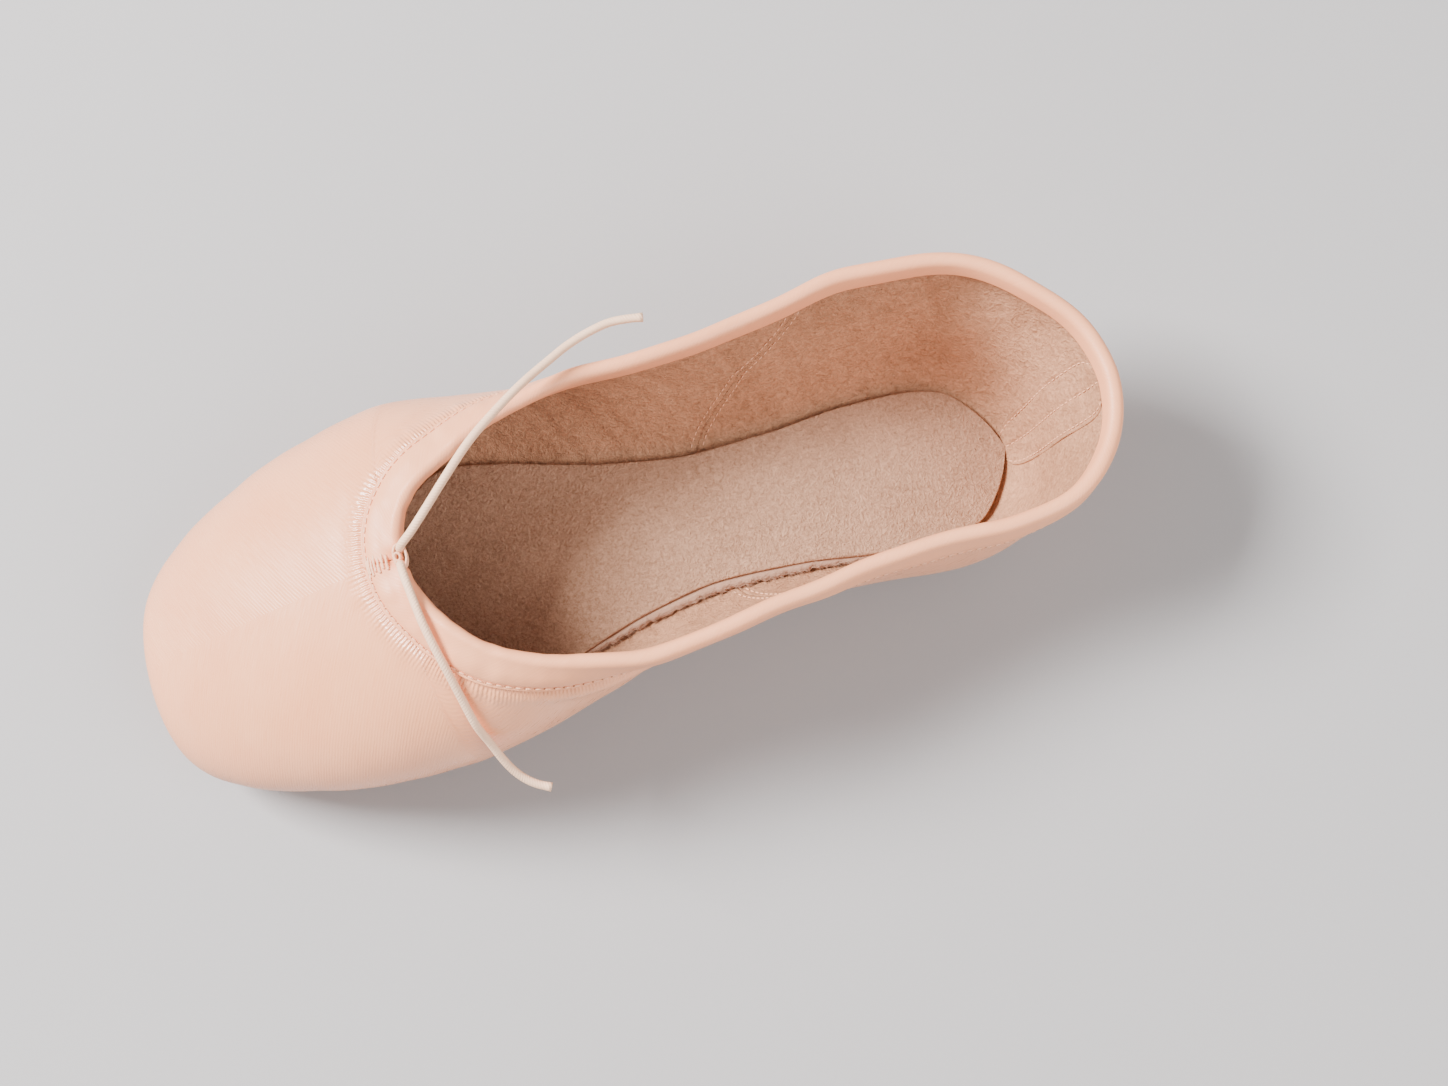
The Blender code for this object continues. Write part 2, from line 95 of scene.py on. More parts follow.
def smooth(table: Table, x: Array) -> Array:
    """Values of a monotone cubic through a table.

    Args:
        table: pairs of station and value.
        x: where the curve is read.

    Returns:
        The values, in x's own shape.
    """
    xs, ys = np.array(table, float).T
    x = np.clip(np.asarray(x, float), xs[0], xs[-1])
    steps = np.diff(xs)
    slopes = np.diff(ys) / steps
    tangents = np.concatenate((slopes[:1], slopes[:-1], slopes[-1:]))
    for k in range(1, len(xs) - 1):
        before, after = slopes[k - 1], slopes[k]
        near, far = 2 * steps[k] + steps[k - 1], steps[k] + 2 * steps[k - 1]
        tangents[k] = 0 if before * after <= 0 else (near + far) / (near / before + far / after)
    i = np.clip(np.searchsorted(xs, x, side="right") - 1, 0, len(xs) - 2)
    f = (x - xs[i]) / steps[i]
    start, end = tangents[i] * steps[i], tangents[i + 1] * steps[i]
    return (ys[i] * (1 + 2 * f) * (1 - f) ** 2 + start * f * (1 - f) ** 2
            + ys[i + 1] * f * f * (3 - 2 * f) + end * f * f * (f - 1))


def ramp(x: Array, low: float, high: float) -> Array:
    """Zero below low, one above high, and a smooth step between."""
    f = np.clip((np.asarray(x, float) - low) / (high - low), 0, 1)
    return f * f * (3 - 2 * f)


def bump_at(x: Array, middle: float, width: float) -> Array:
    """A smooth hump of height one at the middle."""
    return np.exp(-(((np.asarray(x, float) - middle) / width) ** 2))


def waves(x: Array, lengths: tuple[float, ...]) -> Array:
    """An uneven ripple between about -1 and 1, made of sines of these lengths."""
    total = sum(np.sin(2 * math.pi * np.asarray(x, float) / length + 1.7 * k)
                for k, length in enumerate(lengths))
    return total / len(lengths) * 1.4


def row(*parts: Array) -> Array:
    """Points from their coordinates."""
    return np.stack(np.broadcast_arrays(*parts), axis=-1).astype(float)


def unit(vectors: Array) -> Array:
    """Vectors of length one."""
    return vectors / np.maximum(np.linalg.norm(vectors, axis=-1, keepdims=True), 1e-12)


def bezier(a: Array, b: Array, c: Array, d: Array, f: Array) -> Array:
    """Points on cubic Bezier curves at share f."""
    g = 1 - f
    return a * g**3 + b * 3 * g * g * f + c * 3 * g * f * f + d * f**3


def runs_of(points: Array) -> Array:
    """Length along a line of points, up to each of them."""
    return np.concatenate(([0.0], np.cumsum(np.linalg.norm(np.diff(points, axis=0), axis=1))))


def evened(points: Array, count: int) -> Array:
    """The same line with evenly spaced points."""
    runs = runs_of(points)
    wanted = np.linspace(0, runs[-1], count)
    return np.stack([np.interp(wanted, runs, column) for column in points.T], axis=-1)


def eased(route: Array, count: int, steps: int = 20) -> Array:
    """Evenly spaced points on a smooth curve through a route's own points."""
    ends = np.vstack((2 * route[0] - route[1], route, 2 * route[-1] - route[-2]))
    f = (np.arange(steps) / steps)[:, None]
    fine = [0.5 * (2 * b + (c - a) * f + (2 * a - 5 * b + 4 * c - d) * f**2
                   + (3 * b - a - 3 * c + d) * f**3)
            for a, b, c, d in zip(ends, ends[1:], ends[2:], ends[3:])]
    return evened(np.vstack((*fine, route[-1:])), count)


@dataclass(frozen=True)
class Form:
    """The outer skin of the upper, in millimetres along a straight sole, and its bend."""

    throat: float = 85.5
    heel_start: float = 205.0
    back: float = 255.0
    platform: float = -3.0
    arch: float = math.radians(29.3)
    arch_span: tuple[float, float] = (40.0, 205.0)
    toe_pitch: float = math.radians(14.57)
    spine_span: tuple[float, float, float] = (-10.0, 260.0, 0.5)
    tip_rest: tuple[float, float, float] = (0.0, 3.0, 13.0)
    feather_width: Table = (
        (0, 12.5), (3, 17), (10, 23), (30, 31), (60, 37), (80, 37.5), (100, 33), (115, 28.5),
        (130, 24.5), (150, 21.5), (170, 22), (190, 24.5), (205, 25))
    side_width: Table = (
        (0, 17.3), (3, 24.4), (10, 30.7), (30, 39.4), (60, 46.1), (80, 47.4), (100, 44.4),
        (115, 40.5), (136, 34.5), (163, 31), (190, 33), (205, 33.5))
    side_height: Table = (
        (0, 14), (10, 16), (30, 19), (60, 22), (86, 24.5), (115, 25), (163, 24), (205, 28), (255, 30))
    top_height: Table = (
        (0, 27), (3, 31), (10, 35), (30, 42.8), (60, 51), (85.5, 57), (92, 56.6), (100, 54),
        (115, 49.3), (136, 45.3), (163, 44.8), (190, 48.6), (212, 52.5), (232, 55), (255, 56.5))
    top_width: Table = ((130, 36.6), (163, 35.2), (190, 36), (205, 35.6))
    top_front_centre: float = 130.0
    under_height: Table = ((0, 3), (6, 1.2), (16, 0.3), (30, 0), (255, 0))
    wall_flare: Table = (
        (0, 0), (100, 0), (120, 0.12), (150, 0.3), (180, 0.25), (205, 0.12), (255, 0.1))
    top_lean: Table = (
        (0, 0), (85.5, 0), (100, -3.1), (115, -2.7), (136, -2.2), (163, 1.5), (190, 5.4), (212, 4),
        (232, 0.5), (255, 0))
    outsole: Table = (
        (26, 0), (28, 6), (32, 10.5), (40, 15.3), (52, 19), (68, 21.5), (85, 21.5), (105, 18),
        (125, 14.5), (150, 12.5), (175, 14), (200, 17), (212, 16), (220, 12), (224.5, 6), (226, 0))
    margin: float = 4.5
    heel_reach: tuple[float, float, float, float] = (16.5, 28.0, 33.0, 39.5)
    under_flat: float = 0.62
    corner_pull: float = 1.08
    roundness: float = 1.08
    slack_depth: Table = ((-3, 0), (60, 0.05), (90, 0.1), (130, 0.24), (200, 0.2), (235, 0.14), (255, 0))

    @cached_property
    def spine(self) -> tuple[Array, Array, Array, Array]:
        """Stations of the sole line with their x, z and slope."""
        u = np.arange(*self.spine_span)
        start, end = self.arch_span
        share = np.clip((u - start) / (end - start), 0, 1)
        slope = self.toe_pitch - self.arch * (1 - np.cos(np.pi * share)) / 2
        x = np.cumsum(np.cos(slope)) * self.spine_span[2]
        z = np.cumsum(np.sin(slope)) * self.spine_span[2]
        toe = np.argmin(abs(u))
        return u, x - x[toe], z - z[toe], slope

    @cached_property
    def origin(self) -> Array:
        """The row frame's origin in the bent layout, from where the record rests the tip."""
        tip = np.array(frame["record"]["mounts"][0]["pos_m"])
        return self.bend(np.array(self.tip_rest)) - tip / MM

    def bend(self, points: Array) -> Array:
        """Points of the straight layout moved onto the bent sole line, in millimetres."""
        u, y, z = np.moveaxis(np.asarray(points, float), -1, 0)
        x, height, slope = (np.interp(u, self.spine[0], column) for column in self.spine[1:])
        return row(x - z * np.sin(slope), y, height + z * np.cos(slope))

    def place(self, points: Array) -> Array:
        """Points of the straight layout in the row frame, in metres."""
        return (self.bend(points) - self.origin) * MM

    def top(self, s: Array) -> Array:
        """Half-width of the upper's top edge; it is nil in front of the throat."""
        s = np.asarray(s, float)
        reach = np.clip((self.top_front_centre - s) / (self.top_front_centre - self.throat), 0, 1)
        return np.where(s >= self.top_front_centre, smooth(self.top_width, s),
                        self.top_width[0][1] * np.sqrt(1 - reach * reach))

    def margin_width(self, s: Array) -> Array:
        """Half-width of the gap that the turned-in margins leave under the foot."""
        s = np.asarray(s, float)
        inside = np.maximum(0, smooth(self.outsole, s) - self.margin)
        return np.where(s > self.outsole[0][0], inside, 0.0)

    def rib(self, s: Array, t: Array) -> Array:
        """Width, heel reach and height of the outer skin."""
        s, t = np.broadcast_arrays(np.asarray(s, float), np.asarray(t, float))
        flat = np.minimum(s, self.heel_start)
        foot, side, top = smooth(self.feather_width, flat), smooth(self.side_width, flat), self.top(flat)
        under, middle, height = (smooth(table, s) for table in
                                 (self.under_height, self.side_height, self.top_height))
        near, edge_reach, side_reach, top_reach = self.heel_reach
        flare = smooth(self.wall_flare, s)
        lean = row(flare, flare, 1)
        inner = row(np.minimum(self.margin_width(flat), self.under_flat * foot), near, under)
        edge = row(self.under_flat * foot, self.under_flat * edge_reach, under)
        corner = row(self.corner_pull * foot, self.corner_pull * edge_reach, under)
        widest = row(side, side_reach, middle)
        crown = row(top, top_reach, height)
        drop = (self.under_flat * (middle - under))[..., None]
        f = t[..., None]
        sweep = np.maximum(np.arccos(np.minimum(top / side, 1)), 0.05)
        fullness = 1 + (self.roundness - 1) * (sweep / (math.pi / 2)) ** 2
        pull = fullness * 4 / 3 * np.tan(sweep / 4)
        rise = (height - middle) / np.sin(sweep)
        low = widest + (pull * rise)[..., None] * lean
        high = crown + pull[..., None] * row(side * np.sin(sweep), 0, -rise * np.cos(sweep))
        high[..., :2] -= (flare * pull * rise * 0.4)[..., None]
        lower = bezier(edge, corner, widest - drop * lean, widest, np.clip(f - 1, 0, 1))
        upper = bezier(widest, low, high, crown, np.clip(f - 2, 0, 1))
        return np.where(f <= 1, inner + (edge - inner) * np.clip(f, 0, 1), np.where(f <= 2, lower, upper))

    def laid(self, side: Array, s: Array, t: Array) -> Array:
        """Points of the outer skin in the straight layout."""
        side, s, t = (np.asarray(part, float) for part in np.broadcast_arrays(side, s, t))
        width, reach, z = np.moveaxis(self.rib(np.maximum(s, 0), t), -1, 0)
        turn = np.clip((s - self.heel_start) / (self.back - self.heel_start), 0, None) * math.pi / 2
        size = np.where(s < 0, 1 - s / self.platform, 1)
        centre = (self.rib(0, 0)[2] + self.rib(0, 3)[2]) / 2
        width, z = width * size, np.where(s < 0, centre + (z - centre) * size, z)
        lean = smooth(self.top_lean, s) * (z / smooth(self.top_height, s)) ** 2
        u = np.clip(s, 0, self.heel_start) + reach * np.sin(turn)
        return row(u, side * width * np.cos(turn) + lean, z)

    def skin(self, side: Array, s: Array, t: Array, depth: Array = 0.0) -> Array:
        """Points below the outer face of the upper.

        Args:
            side: -1 for left and 1 for right.
            s: stations along the sole.
            t: shares up the side.
            depth: millimetres below the outer face.

        Returns:
            The points in the row frame, in metres.
        """
        side, s, t, depth = (np.asarray(p, float) for p in np.broadcast_arrays(side, s, t, depth))
        ds, dt = 0.25, 0.02
        here = self.bend(self.laid(side, s, t))
        along = (self.bend(self.laid(side, np.minimum(s + ds, self.back), t))
                 - self.bend(self.laid(side, s - ds, t)))
        up = (self.bend(self.laid(side, s, np.minimum(t + dt, 3)))
              - self.bend(self.laid(side, s, np.maximum(t - dt, 0))))
        normal = np.cross(up, along) * side[..., None]
        on_middle = ((t == 3) & (s < self.throat + ds)) | (s >= self.back)
        on_middle |= (t == 0) & (s < self.outsole[0][0] + ds)
        normal[..., 1] = np.where(on_middle, 0, normal[..., 1])
        slope = self.spine[3][0]
        tip = np.array((-math.cos(slope), 0, -math.sin(slope)))
        normal = np.where((s <= self.platform)[..., None], tip, unit(normal))
        return (here - depth[..., None] * normal - self.origin) * MM

    def slack(self, side: Array, s: Array, t: Array) -> Array:
        """How far the soft upper stands out of its true shape, in millimetres."""
        ripple = waves(np.asarray(s) + 11 * np.asarray(side) * (3 - np.asarray(t)), (41, 27, 19))
        return smooth(self.slack_depth, s) * ramp(t, 1.2, 2) * ripple

    def layer(self, side: Array, s: Array, t: Array, depth: Array = 0.0) -> Array:
        """Points of one layer of the slack upper, in metres."""
        return self.skin(side, s, t, depth - self.slack(side, s, t))


FORM = Form()


@dataclass
class Patch:
    """A grid of points with its cloth coordinates.

    Attributes:
        points: rows by columns by 3, in metres.
        cloth: rows by columns by 2, in metres of cloth.
        seam: rows by columns by 3: run along the mouth from the throat, distance from it and nil.
        turned: whether the faces are wound the other way.
    """

    points: Array
    cloth: Array
    seam: Array | None = None
    turned: bool = False


def cloth_of(points: Array) -> Array:
    """Cloth coordinates of a grid: mean run along its rows and its columns, in metres."""
    across = np.concatenate((np.zeros_like(points[:, :1, 0]),
                             np.cumsum(np.linalg.norm(np.diff(points, axis=1), axis=2), axis=1)), axis=1)
    steps = np.linalg.norm(np.diff(points, axis=0), axis=2).mean(axis=1)
    along = np.concatenate(([0.0], np.cumsum(steps)))
    return np.stack((np.broadcast_to(along[:, None], across.shape), across - across[:, -1:]), axis=-1)


def add_piece(name: str, patches: list[Patch], recalculate: bool = False) -> bpy.types.Object:
    """A smooth mesh made of grids, with the points that coincide made one.

    Args:
        name: the piece's name.
        patches: the grids.
        recalculate: whether the faces of this closed shape are turned outwards.

    Returns:
        The new object, at the origin.
    """
    points, faces, cloth, seams, first = [], [], [], [], 0
    for patch in patches:
        rows, columns = patch.points.shape[:2]
        index = first + np.arange(rows * columns).reshape(rows, columns)
        quads = np.stack((index[:-1, :-1], index[:-1, 1:], index[1:, 1:], index[1:, :-1]), axis=-1)
        quads = quads.reshape(-1, 4)
        faces.append(quads[:, ::-1] if patch.turned else quads)
        points.append(patch.points.reshape(-1, 3))
        cloth.append(patch.cloth.reshape(-1, 2))
        seams.append(np.zeros((rows * columns, 3)) if patch.seam is None else patch.seam.reshape(-1, 3))
        first += rows * columns
    data = bpy.data.meshes.new(name)
    data.from_pydata(np.vstack(points).tolist(), [], np.vstack(faces).tolist())
    corners = np.vstack(faces).reshape(-1)
    data.uv_layers.new(name="cloth").data.foreach_set("uv", np.vstack(cloth)[corners].ravel())
    seam = data.attributes.new("seam", "FLOAT_VECTOR", "POINT")
    seam.data.foreach_set("vector", np.vstack(seams).ravel())
    shape = bmesh.new()
    shape.from_mesh(data)
    bmesh.ops.remove_doubles(shape, verts=shape.verts, dist=1e-6)
    bmesh.ops.dissolve_degenerate(shape, edges=shape.edges, dist=1e-7)
    if recalculate:
        bmesh.ops.recalc_face_normals(shape, faces=shape.faces)
    shape.to_mesh(data)
    shape.free()
    data.shade_smooth()
    piece = bpy.data.objects.new(name, data)
    bpy.context.scene.collection.objects.link(piece)
    return piece


def add_tube(name: str, line: Array, radius: Array, sides: int = 14) -> bpy.types.Object:
    """A closed round tube along a line, its ends capped.

    Args:
        name: the piece's name.
        line: points of the centreline, in metres.
        radius: one radius, or one for each point, in metres.
        sides: points round the tube.

    Returns:
        The new object.
    """
    ahead = unit(np.gradient(line, axis=0))
    aside = [unit(np.cross(ahead[0], (0.3, 1.0, 0.2)))]
    for way in ahead[1:]:
        aside.append(unit(aside[-1] - way * (aside[-1] @ way)))
    aside = np.array(aside)
    over = np.cross(ahead, aside)
    turns = np.linspace(0, 2 * math.pi, sides + 1)
    turns[-1] = 0
    radii = np.broadcast_to(radius, len(line))[:, None, None]
    ring = (aside[:, None] * np.cos(turns)[None, :, None] + over[:, None] * np.sin(turns)[None, :, None])
    points = line[:, None] + radii * ring
    start, end = (np.repeat(line[i][None, None], sides + 1, axis=1) for i in (0, -1))
    points = np.concatenate((start, points, end))
    runs = runs_of(points[:, 0])
    around = np.linspace(0, 2 * math.pi, sides + 1) * float(np.mean(radius))
    cloth = row(*np.broadcast_arrays(runs[:, None], around[None, :]))
    return add_piece(name, [Patch(points, cloth)], recalculate=True)


def linear(colour: str) -> tuple[float, float, float, float]:
    """A linear colour from sRGB hex digits."""
    shares = [int(colour[i:i + 2], 16) / 255 for i in (1, 3, 5)]
    return (*[c / 12.92 if c <= 0.04045 else ((c + 0.055) / 1.055) ** 2.4 for c in shares], 1.0)


def add_node(tree: bpy.types.NodeTree, kind: str, inputs: dict | None = None, **settings) -> bpy.types.Node:
    """A node with its settings, values and links.

    Args:
        tree: where the node goes.
        kind: the node's type.
        inputs: for each input, a value, or an output to link to it.
        settings: the node's own properties.

    Returns:
        The node.
    """
    made = tree.nodes.new(kind)
    for name, value in settings.items():
        setattr(made, name, value)
    for key, value in (inputs or {}).items():
        if isinstance(value, bpy.types.NodeSocket):
            tree.links.new(value, made.inputs[key])
        else:
            made.inputs[key].default_value = value
    return made


@dataclass(frozen=True)
class Finish:
    """What every finish has: its name, its two colours and the way it scatters light."""

    name: str
    light: str
    dark: str
    roughness: float
    reads: Reads = Reads.PLACE
    sheen: float = 0.0
    sheen_roughness: float = 0.4
    specular: float = 0.5
    ior: float = 1.5

    def material(self) -> bpy.types.Material:
        """The finish's material, made once."""
        found = bpy.data.materials.get(self.name)
        if found:
            return found
        made = bpy.data.materials.new(self.name)
        made.use_nodes = True
        tree = made.node_tree
        shader = tree.nodes["Principled BSDF"]
        for name, value in (("Sheen Weight", self.sheen), ("Sheen Roughness", self.sheen_roughness),
                            ("Sheen Tint", linear(self.light)), ("IOR", self.ior),
                            ("Specular IOR Level", self.specular), ("Roughness", self.roughness)):
            shader.inputs[name].default_value = value
        self.dress(tree, shader)
        return made

    def where(self, tree: bpy.types.NodeTree) -> bpy.types.NodeSocket:
        """The coordinates that the pattern reads, in metres."""
        if self.reads is Reads.CLOTH:
            return add_node(tree, "ShaderNodeUVMap", uv_map="cloth").outputs["UV"]
        return add_node(tree, "ShaderNodeTexCoord").outputs["Object"]

    def dress(self, tree: bpy.types.NodeTree, shader: bpy.types.Node) -> None:
        """Adds the finish's own pattern to its shader."""
        raise NotImplementedError

    def tint(self, tree: bpy.types.NodeTree, shader: bpy.types.Node,
             share: bpy.types.NodeSocket) -> None:
        """Colours the shader between dark and light by a share."""
        mix = add_node(tree, "ShaderNodeMix", {0: share, 6: linear(self.dark), 7: linear(self.light)},
                       data_type="RGBA")
        tree.links.new(mix.outputs[2], shader.inputs["Base Color"])


@dataclass(frozen=True)
class WovenFinish(Finish):
    """Cloth of smooth thread, such as satin, whose long floats shine along one direction."""

    thread: float = 0.8
    angle: float = 35.0
    depth: float = 0.02
    slub: float = 0.5
    patch: float = 22.0
    anisotropic: float = 0.0
    gathers: float = 0.0
    gather_pitch: float = 0.95
    gather_span: tuple[float, float] = (6.9, 13.5)

    def dress(self, tree: bpy.types.NodeTree, shader: bpy.types.Node) -> None:
        """Threads, slubs along them, and soft patches of painted sheen, lighter and darker in colour for
        more and less shine.
        """
        where = self.where(tree)
        turned = add_node(tree, "ShaderNodeMapping",
                          {"Vector": where, "Rotation": (0, 0, math.radians(self.angle))})
        threads = add_node(tree, "ShaderNodeTexWave",
                           {"Vector": turned.outputs[0], "Scale": math.pi / 10 / (self.thread * MM),
                            "Distortion": 1.6, "Detail": 2.0, "Detail Scale": 1.4}, bands_direction="X")
        drawn = add_node(tree, "ShaderNodeMapping",
                         {"Vector": turned.outputs[0], "Scale": (1.0, 0.08, 1.0)})
        slubs = add_node(tree, "ShaderNodeTexNoise",
                         {"Vector": drawn.outputs[0], "Scale": 1 / (self.slub * MM), "Detail": 3.0})
        patches = add_node(tree, "ShaderNodeTexNoise",
                           {"Vector": where, "Scale": 1 / (self.patch * MM), "Detail": 2.0})
        mixed = add_node(tree, "ShaderNodeMath", {0: slubs.outputs[0], 1: 0.55, 2: 0.12},
                         operation="MULTIPLY_ADD")
        # The colour mixes the slubs' own tone with the patches' painted sheen.
        share = add_node(tree, "ShaderNodeMath", {0: patches.outputs[0], 1: 0.7, 2: mixed.outputs[0]},
                         operation="MULTIPLY_ADD", use_clamp=True)
        self.tint(tree, shader, share.outputs[0])
        rough = add_node(tree, "ShaderNodeMapRange",
                         {"Value": slubs.outputs[0], "From Min": 0.3, "From Max": 0.7,
                          "To Min": self.roughness - 0.05, "To Max": self.roughness + 0.07})
        tree.links.new(rough.outputs[0], shader.inputs["Roughness"])
        if self.anisotropic:
            shader.inputs["Anisotropic"].default_value = self.anisotropic
            way = add_node(tree, "ShaderNodeTangent", direction_type="UV_MAP", uv_map="cloth")
            tree.links.new(way.outputs[0], shader.inputs["Tangent"])
        relief = add_node(tree, "ShaderNodeBump",
                          {"Height": threads.outputs[0], "Distance": self.depth * MM, "Strength": 1.0})
        relief = add_node(tree, "ShaderNodeBump",
                          {"Height": slubs.outputs[0], "Distance": self.depth * 1.6 * MM,
                           "Strength": 1.0, "Normal": relief.outputs[0]})
        if self.gathers:
            relief = self.gathered(tree, relief)
        tree.links.new(relief.outputs[0], shader.inputs["Normal"])

    def gathered(self, tree: bpy.types.NodeTree, relief: bpy.types.Node) -> bpy.types.Node:
        """Fine gathers that run square to the mouth's seam and fade away from it."""
        seam = add_node(tree, "ShaderNodeAttribute", attribute_name="seam")
        parts = add_node(tree, "ShaderNodeSeparateXYZ", {0: seam.outputs["Vector"]})
        wander = add_node(tree, "ShaderNodeTexNoise", {"Vector": seam.outputs["Vector"],
                                                       "Scale": 1 / (9 * MM), "Detail": 1.0})
        phase = add_node(tree, "ShaderNodeMath",
                         {0: parts.outputs[0], 1: 2 * math.pi / (self.gather_pitch * MM)},
                         operation="MULTIPLY")
        shifted = add_node(tree, "ShaderNodeMath", {0: wander.outputs[0], 1: 4.0, 2: phase.outputs[0]},
                           operation="MULTIPLY_ADD")
        ridges = add_node(tree, "ShaderNodeMath", {0: shifted.outputs[0]}, operation="SINE")
        near, far = self.gather_span
        starts = add_node(tree, "ShaderNodeMapRange",
                          {"Value": parts.outputs[1], "From Min": (near - 0.5) * MM,
                           "From Max": (near + 0.4) * MM})
        fades = add_node(tree, "ShaderNodeMapRange",
                         {"Value": parts.outputs[1], "From Min": (near + 1.5) * MM,
                          "From Max": far * MM, "To Min": 1.0, "To Max": 0.0})
        band = add_node(tree, "ShaderNodeMath", {0: starts.outputs[0], 1: fades.outputs[0]},
                        operation="MULTIPLY")
        height = add_node(tree, "ShaderNodeMath", {0: ridges.outputs[0], 1: band.outputs[0]},
                          operation="MULTIPLY")
        return add_node(tree, "ShaderNodeBump",
                        {"Height": height.outputs[0], "Distance": self.gathers * MM, "Strength": 1.0,
                         "Normal": relief.outputs[0]})


@dataclass(frozen=True)
class NappedFinish(Finish):
    """Suede, felt or leather: a fine grain under larger brushed or worn patches."""

    grain: float = 0.55
    depth: float = 0.09
    patch: float = 5.0
    cloud: float = 30.0
    contrast: float = 1.0

    def dress(self, tree: bpy.types.NodeTree, shader: bpy.types.Node) -> None:
        """Grain, brushed patches and slow clouds of colour."""
        where = self.where(tree)
        grain, patches, clouds = (
            add_node(tree, "ShaderNodeTexNoise",
                     {"Vector": where, "Scale": 1 / (size * MM), "Detail": detail, "Roughness": 0.6,
                      "Distortion": twist})
            for size, detail, twist in ((self.grain, 3.0, 0.6), (self.patch, 4.0, 1.2),
                                        (self.cloud, 2.0, 0.3)))
        first = add_node(tree, "ShaderNodeMath", {0: grain.outputs[0], 1: 0.8, 2: -0.35},
                         operation="MULTIPLY_ADD")
        second = add_node(tree, "ShaderNodeMath", {0: patches.outputs[0], 1: 0.75, 2: first.outputs[0]},
                          operation="MULTIPLY_ADD")
        third = add_node(tree, "ShaderNodeMath", {0: clouds.outputs[0], 1: 0.5, 2: second.outputs[0]},
                         operation="MULTIPLY_ADD")
        share = add_node(tree, "ShaderNodeMapRange",
                         {"Value": third.outputs[0], "From Min": 0.68 - 0.5 / self.contrast,
                          "From Max": 0.68 + 0.5 / self.contrast})
        self.tint(tree, shader, share.outputs[0])
        rough = add_node(tree, "ShaderNodeMapRange",
                         {"Value": patches.outputs[0], "To Min": self.roughness - 0.08,
                          "To Max": min(self.roughness + 0.06, 1)})
        tree.links.new(rough.outputs[0], shader.inputs["Roughness"])
        relief = add_node(tree, "ShaderNodeBump",
                          {"Height": grain.outputs[0], "Distance": self.depth * MM, "Strength": 1.0})
        relief = add_node(tree, "ShaderNodeBump",
                          {"Height": patches.outputs[0], "Distance": self.depth * 2.5 * MM,
                           "Strength": 0.6, "Normal": relief.outputs[0]})
        tree.links.new(relief.outputs[0], shader.inputs["Normal"])


# Polyester satin, warp faced: tight floats give it broad soft highlights and a fine slanting weave.
SATIN = WovenFinish("peach_satin", "#FAAC7E", "#EA8F60", 0.3, Reads.CLOTH, specular=0.9, depth=0.026,
                    anisotropic=0.6, gathers=0.09, gather_pitch=0.85)
# The same satin cut on the bias and pressed flat: duller, with a finer weave.
CASING = WovenFinish("bias_casing", "#F9AC80", "#EE966A", 0.45, Reads.CLOTH, specular=0.4,
                     thread=0.7, angle=45.0, depth=0.014)
# Braided elastic cord: matt, cream, with the braid's slant on it.
CORD = WovenFinish("elastic_cord", "#F8CFAE", "#E4AC85", 0.62, Reads.CLOTH, sheen=0.25, specular=0.35,
                   thread=0.7, angle=28.0, depth=0.05, patch=9.0)
# Spun polyester sewing thread: a small sheen, twisted.
THREAD = WovenFinish("sewing_thread", "#F4BC98", "#E9A078", 0.5, Reads.PLACE, sheen=0.2, thread=0.5,
                     depth=0.03, patch=3.0)
# Plain cotton canvas, soaked in paste.
CANVAS = WovenFinish("pasted_canvas", "#D9C4A3", "#B79F79", 0.85, Reads.PLACE, thread=0.9, depth=0.06,
                     patch=12.0)
# Pigskin suede lining: dull, peach, with a brushed nap in uneven patches.
LINING = NappedFinish("suede_lining", "#CC9674", "#9E7053", 0.92, Reads.PLACE, sheen=0.05, specular=0.2,
                      grain=0.8, patch=2.6, depth=0.42, contrast=2.0)
# Synthetic suede sock: a dense short pile with a fine speckle.
SOCK = NappedFinish("suede_sock", "#CB9F82", "#9B745B", 0.95, Reads.PLACE, sheen=0.05, specular=0.15,
                    grain=0.65, patch=1.5, cloud=40.0, depth=0.4, contrast=2.0)
# The sock's frayed cotton backing.
BACKING = NappedFinish("cotton_backing", "#CDA68E", "#A47A62", 0.95, Reads.PLACE, sheen=0.3,
                       specular=0.15, grain=0.35, patch=1.6, depth=0.15)
# Vegetable-tanned leather outsole, buffed: pale tan with a fine open grain and soft wear.
OUTSOLE = NappedFinish("buffed_sole_leather", "#D9B48F", "#B58A63", 0.68, Reads.PLACE, specular=0.35,
                       grain=0.45, patch=7.0, cloud=45.0, depth=0.04)
# Burlap and paper set hard with paste.
PASTE = NappedFinish("set_paste", "#BFA27C", "#957650", 0.8, Reads.PLACE, grain=0.6, patch=6.0, depth=0.1)
# Wool felt: a loose dull nap.
FELT = NappedFinish("wool_felt", "#D8CDBE", "#B9AB98", 0.95, Reads.PLACE, sheen=0.4, specular=0.15,
                    grain=0.8, patch=5.0, depth=0.2)
# Pressed fibre board: dense, brown, speckled.
BOARD = NappedFinish("fibre_board", "#A9764F", "#7E5233", 0.75, Reads.PLACE, grain=0.5, patch=9.0,
                     depth=0.05)
# Painted shade for the needle's pricks: dark dots where the small holes hold only shade.
PRICK_SHADE = NappedFinish("painted_prick_shade", "#A87355", "#8C5A40", 0.95, Reads.PLACE, specular=0.1, grain=0.5,
                     depth=0.01)
# Seamless paper sweep.
PAPER = NappedFinish("studio_paper", "#ABA8A8", "#A6A3A3", 0.95, Reads.PLACE, specular=0.1, grain=1.2,
                     patch=60.0, cloud=400.0, depth=0.0, contrast=0.6)


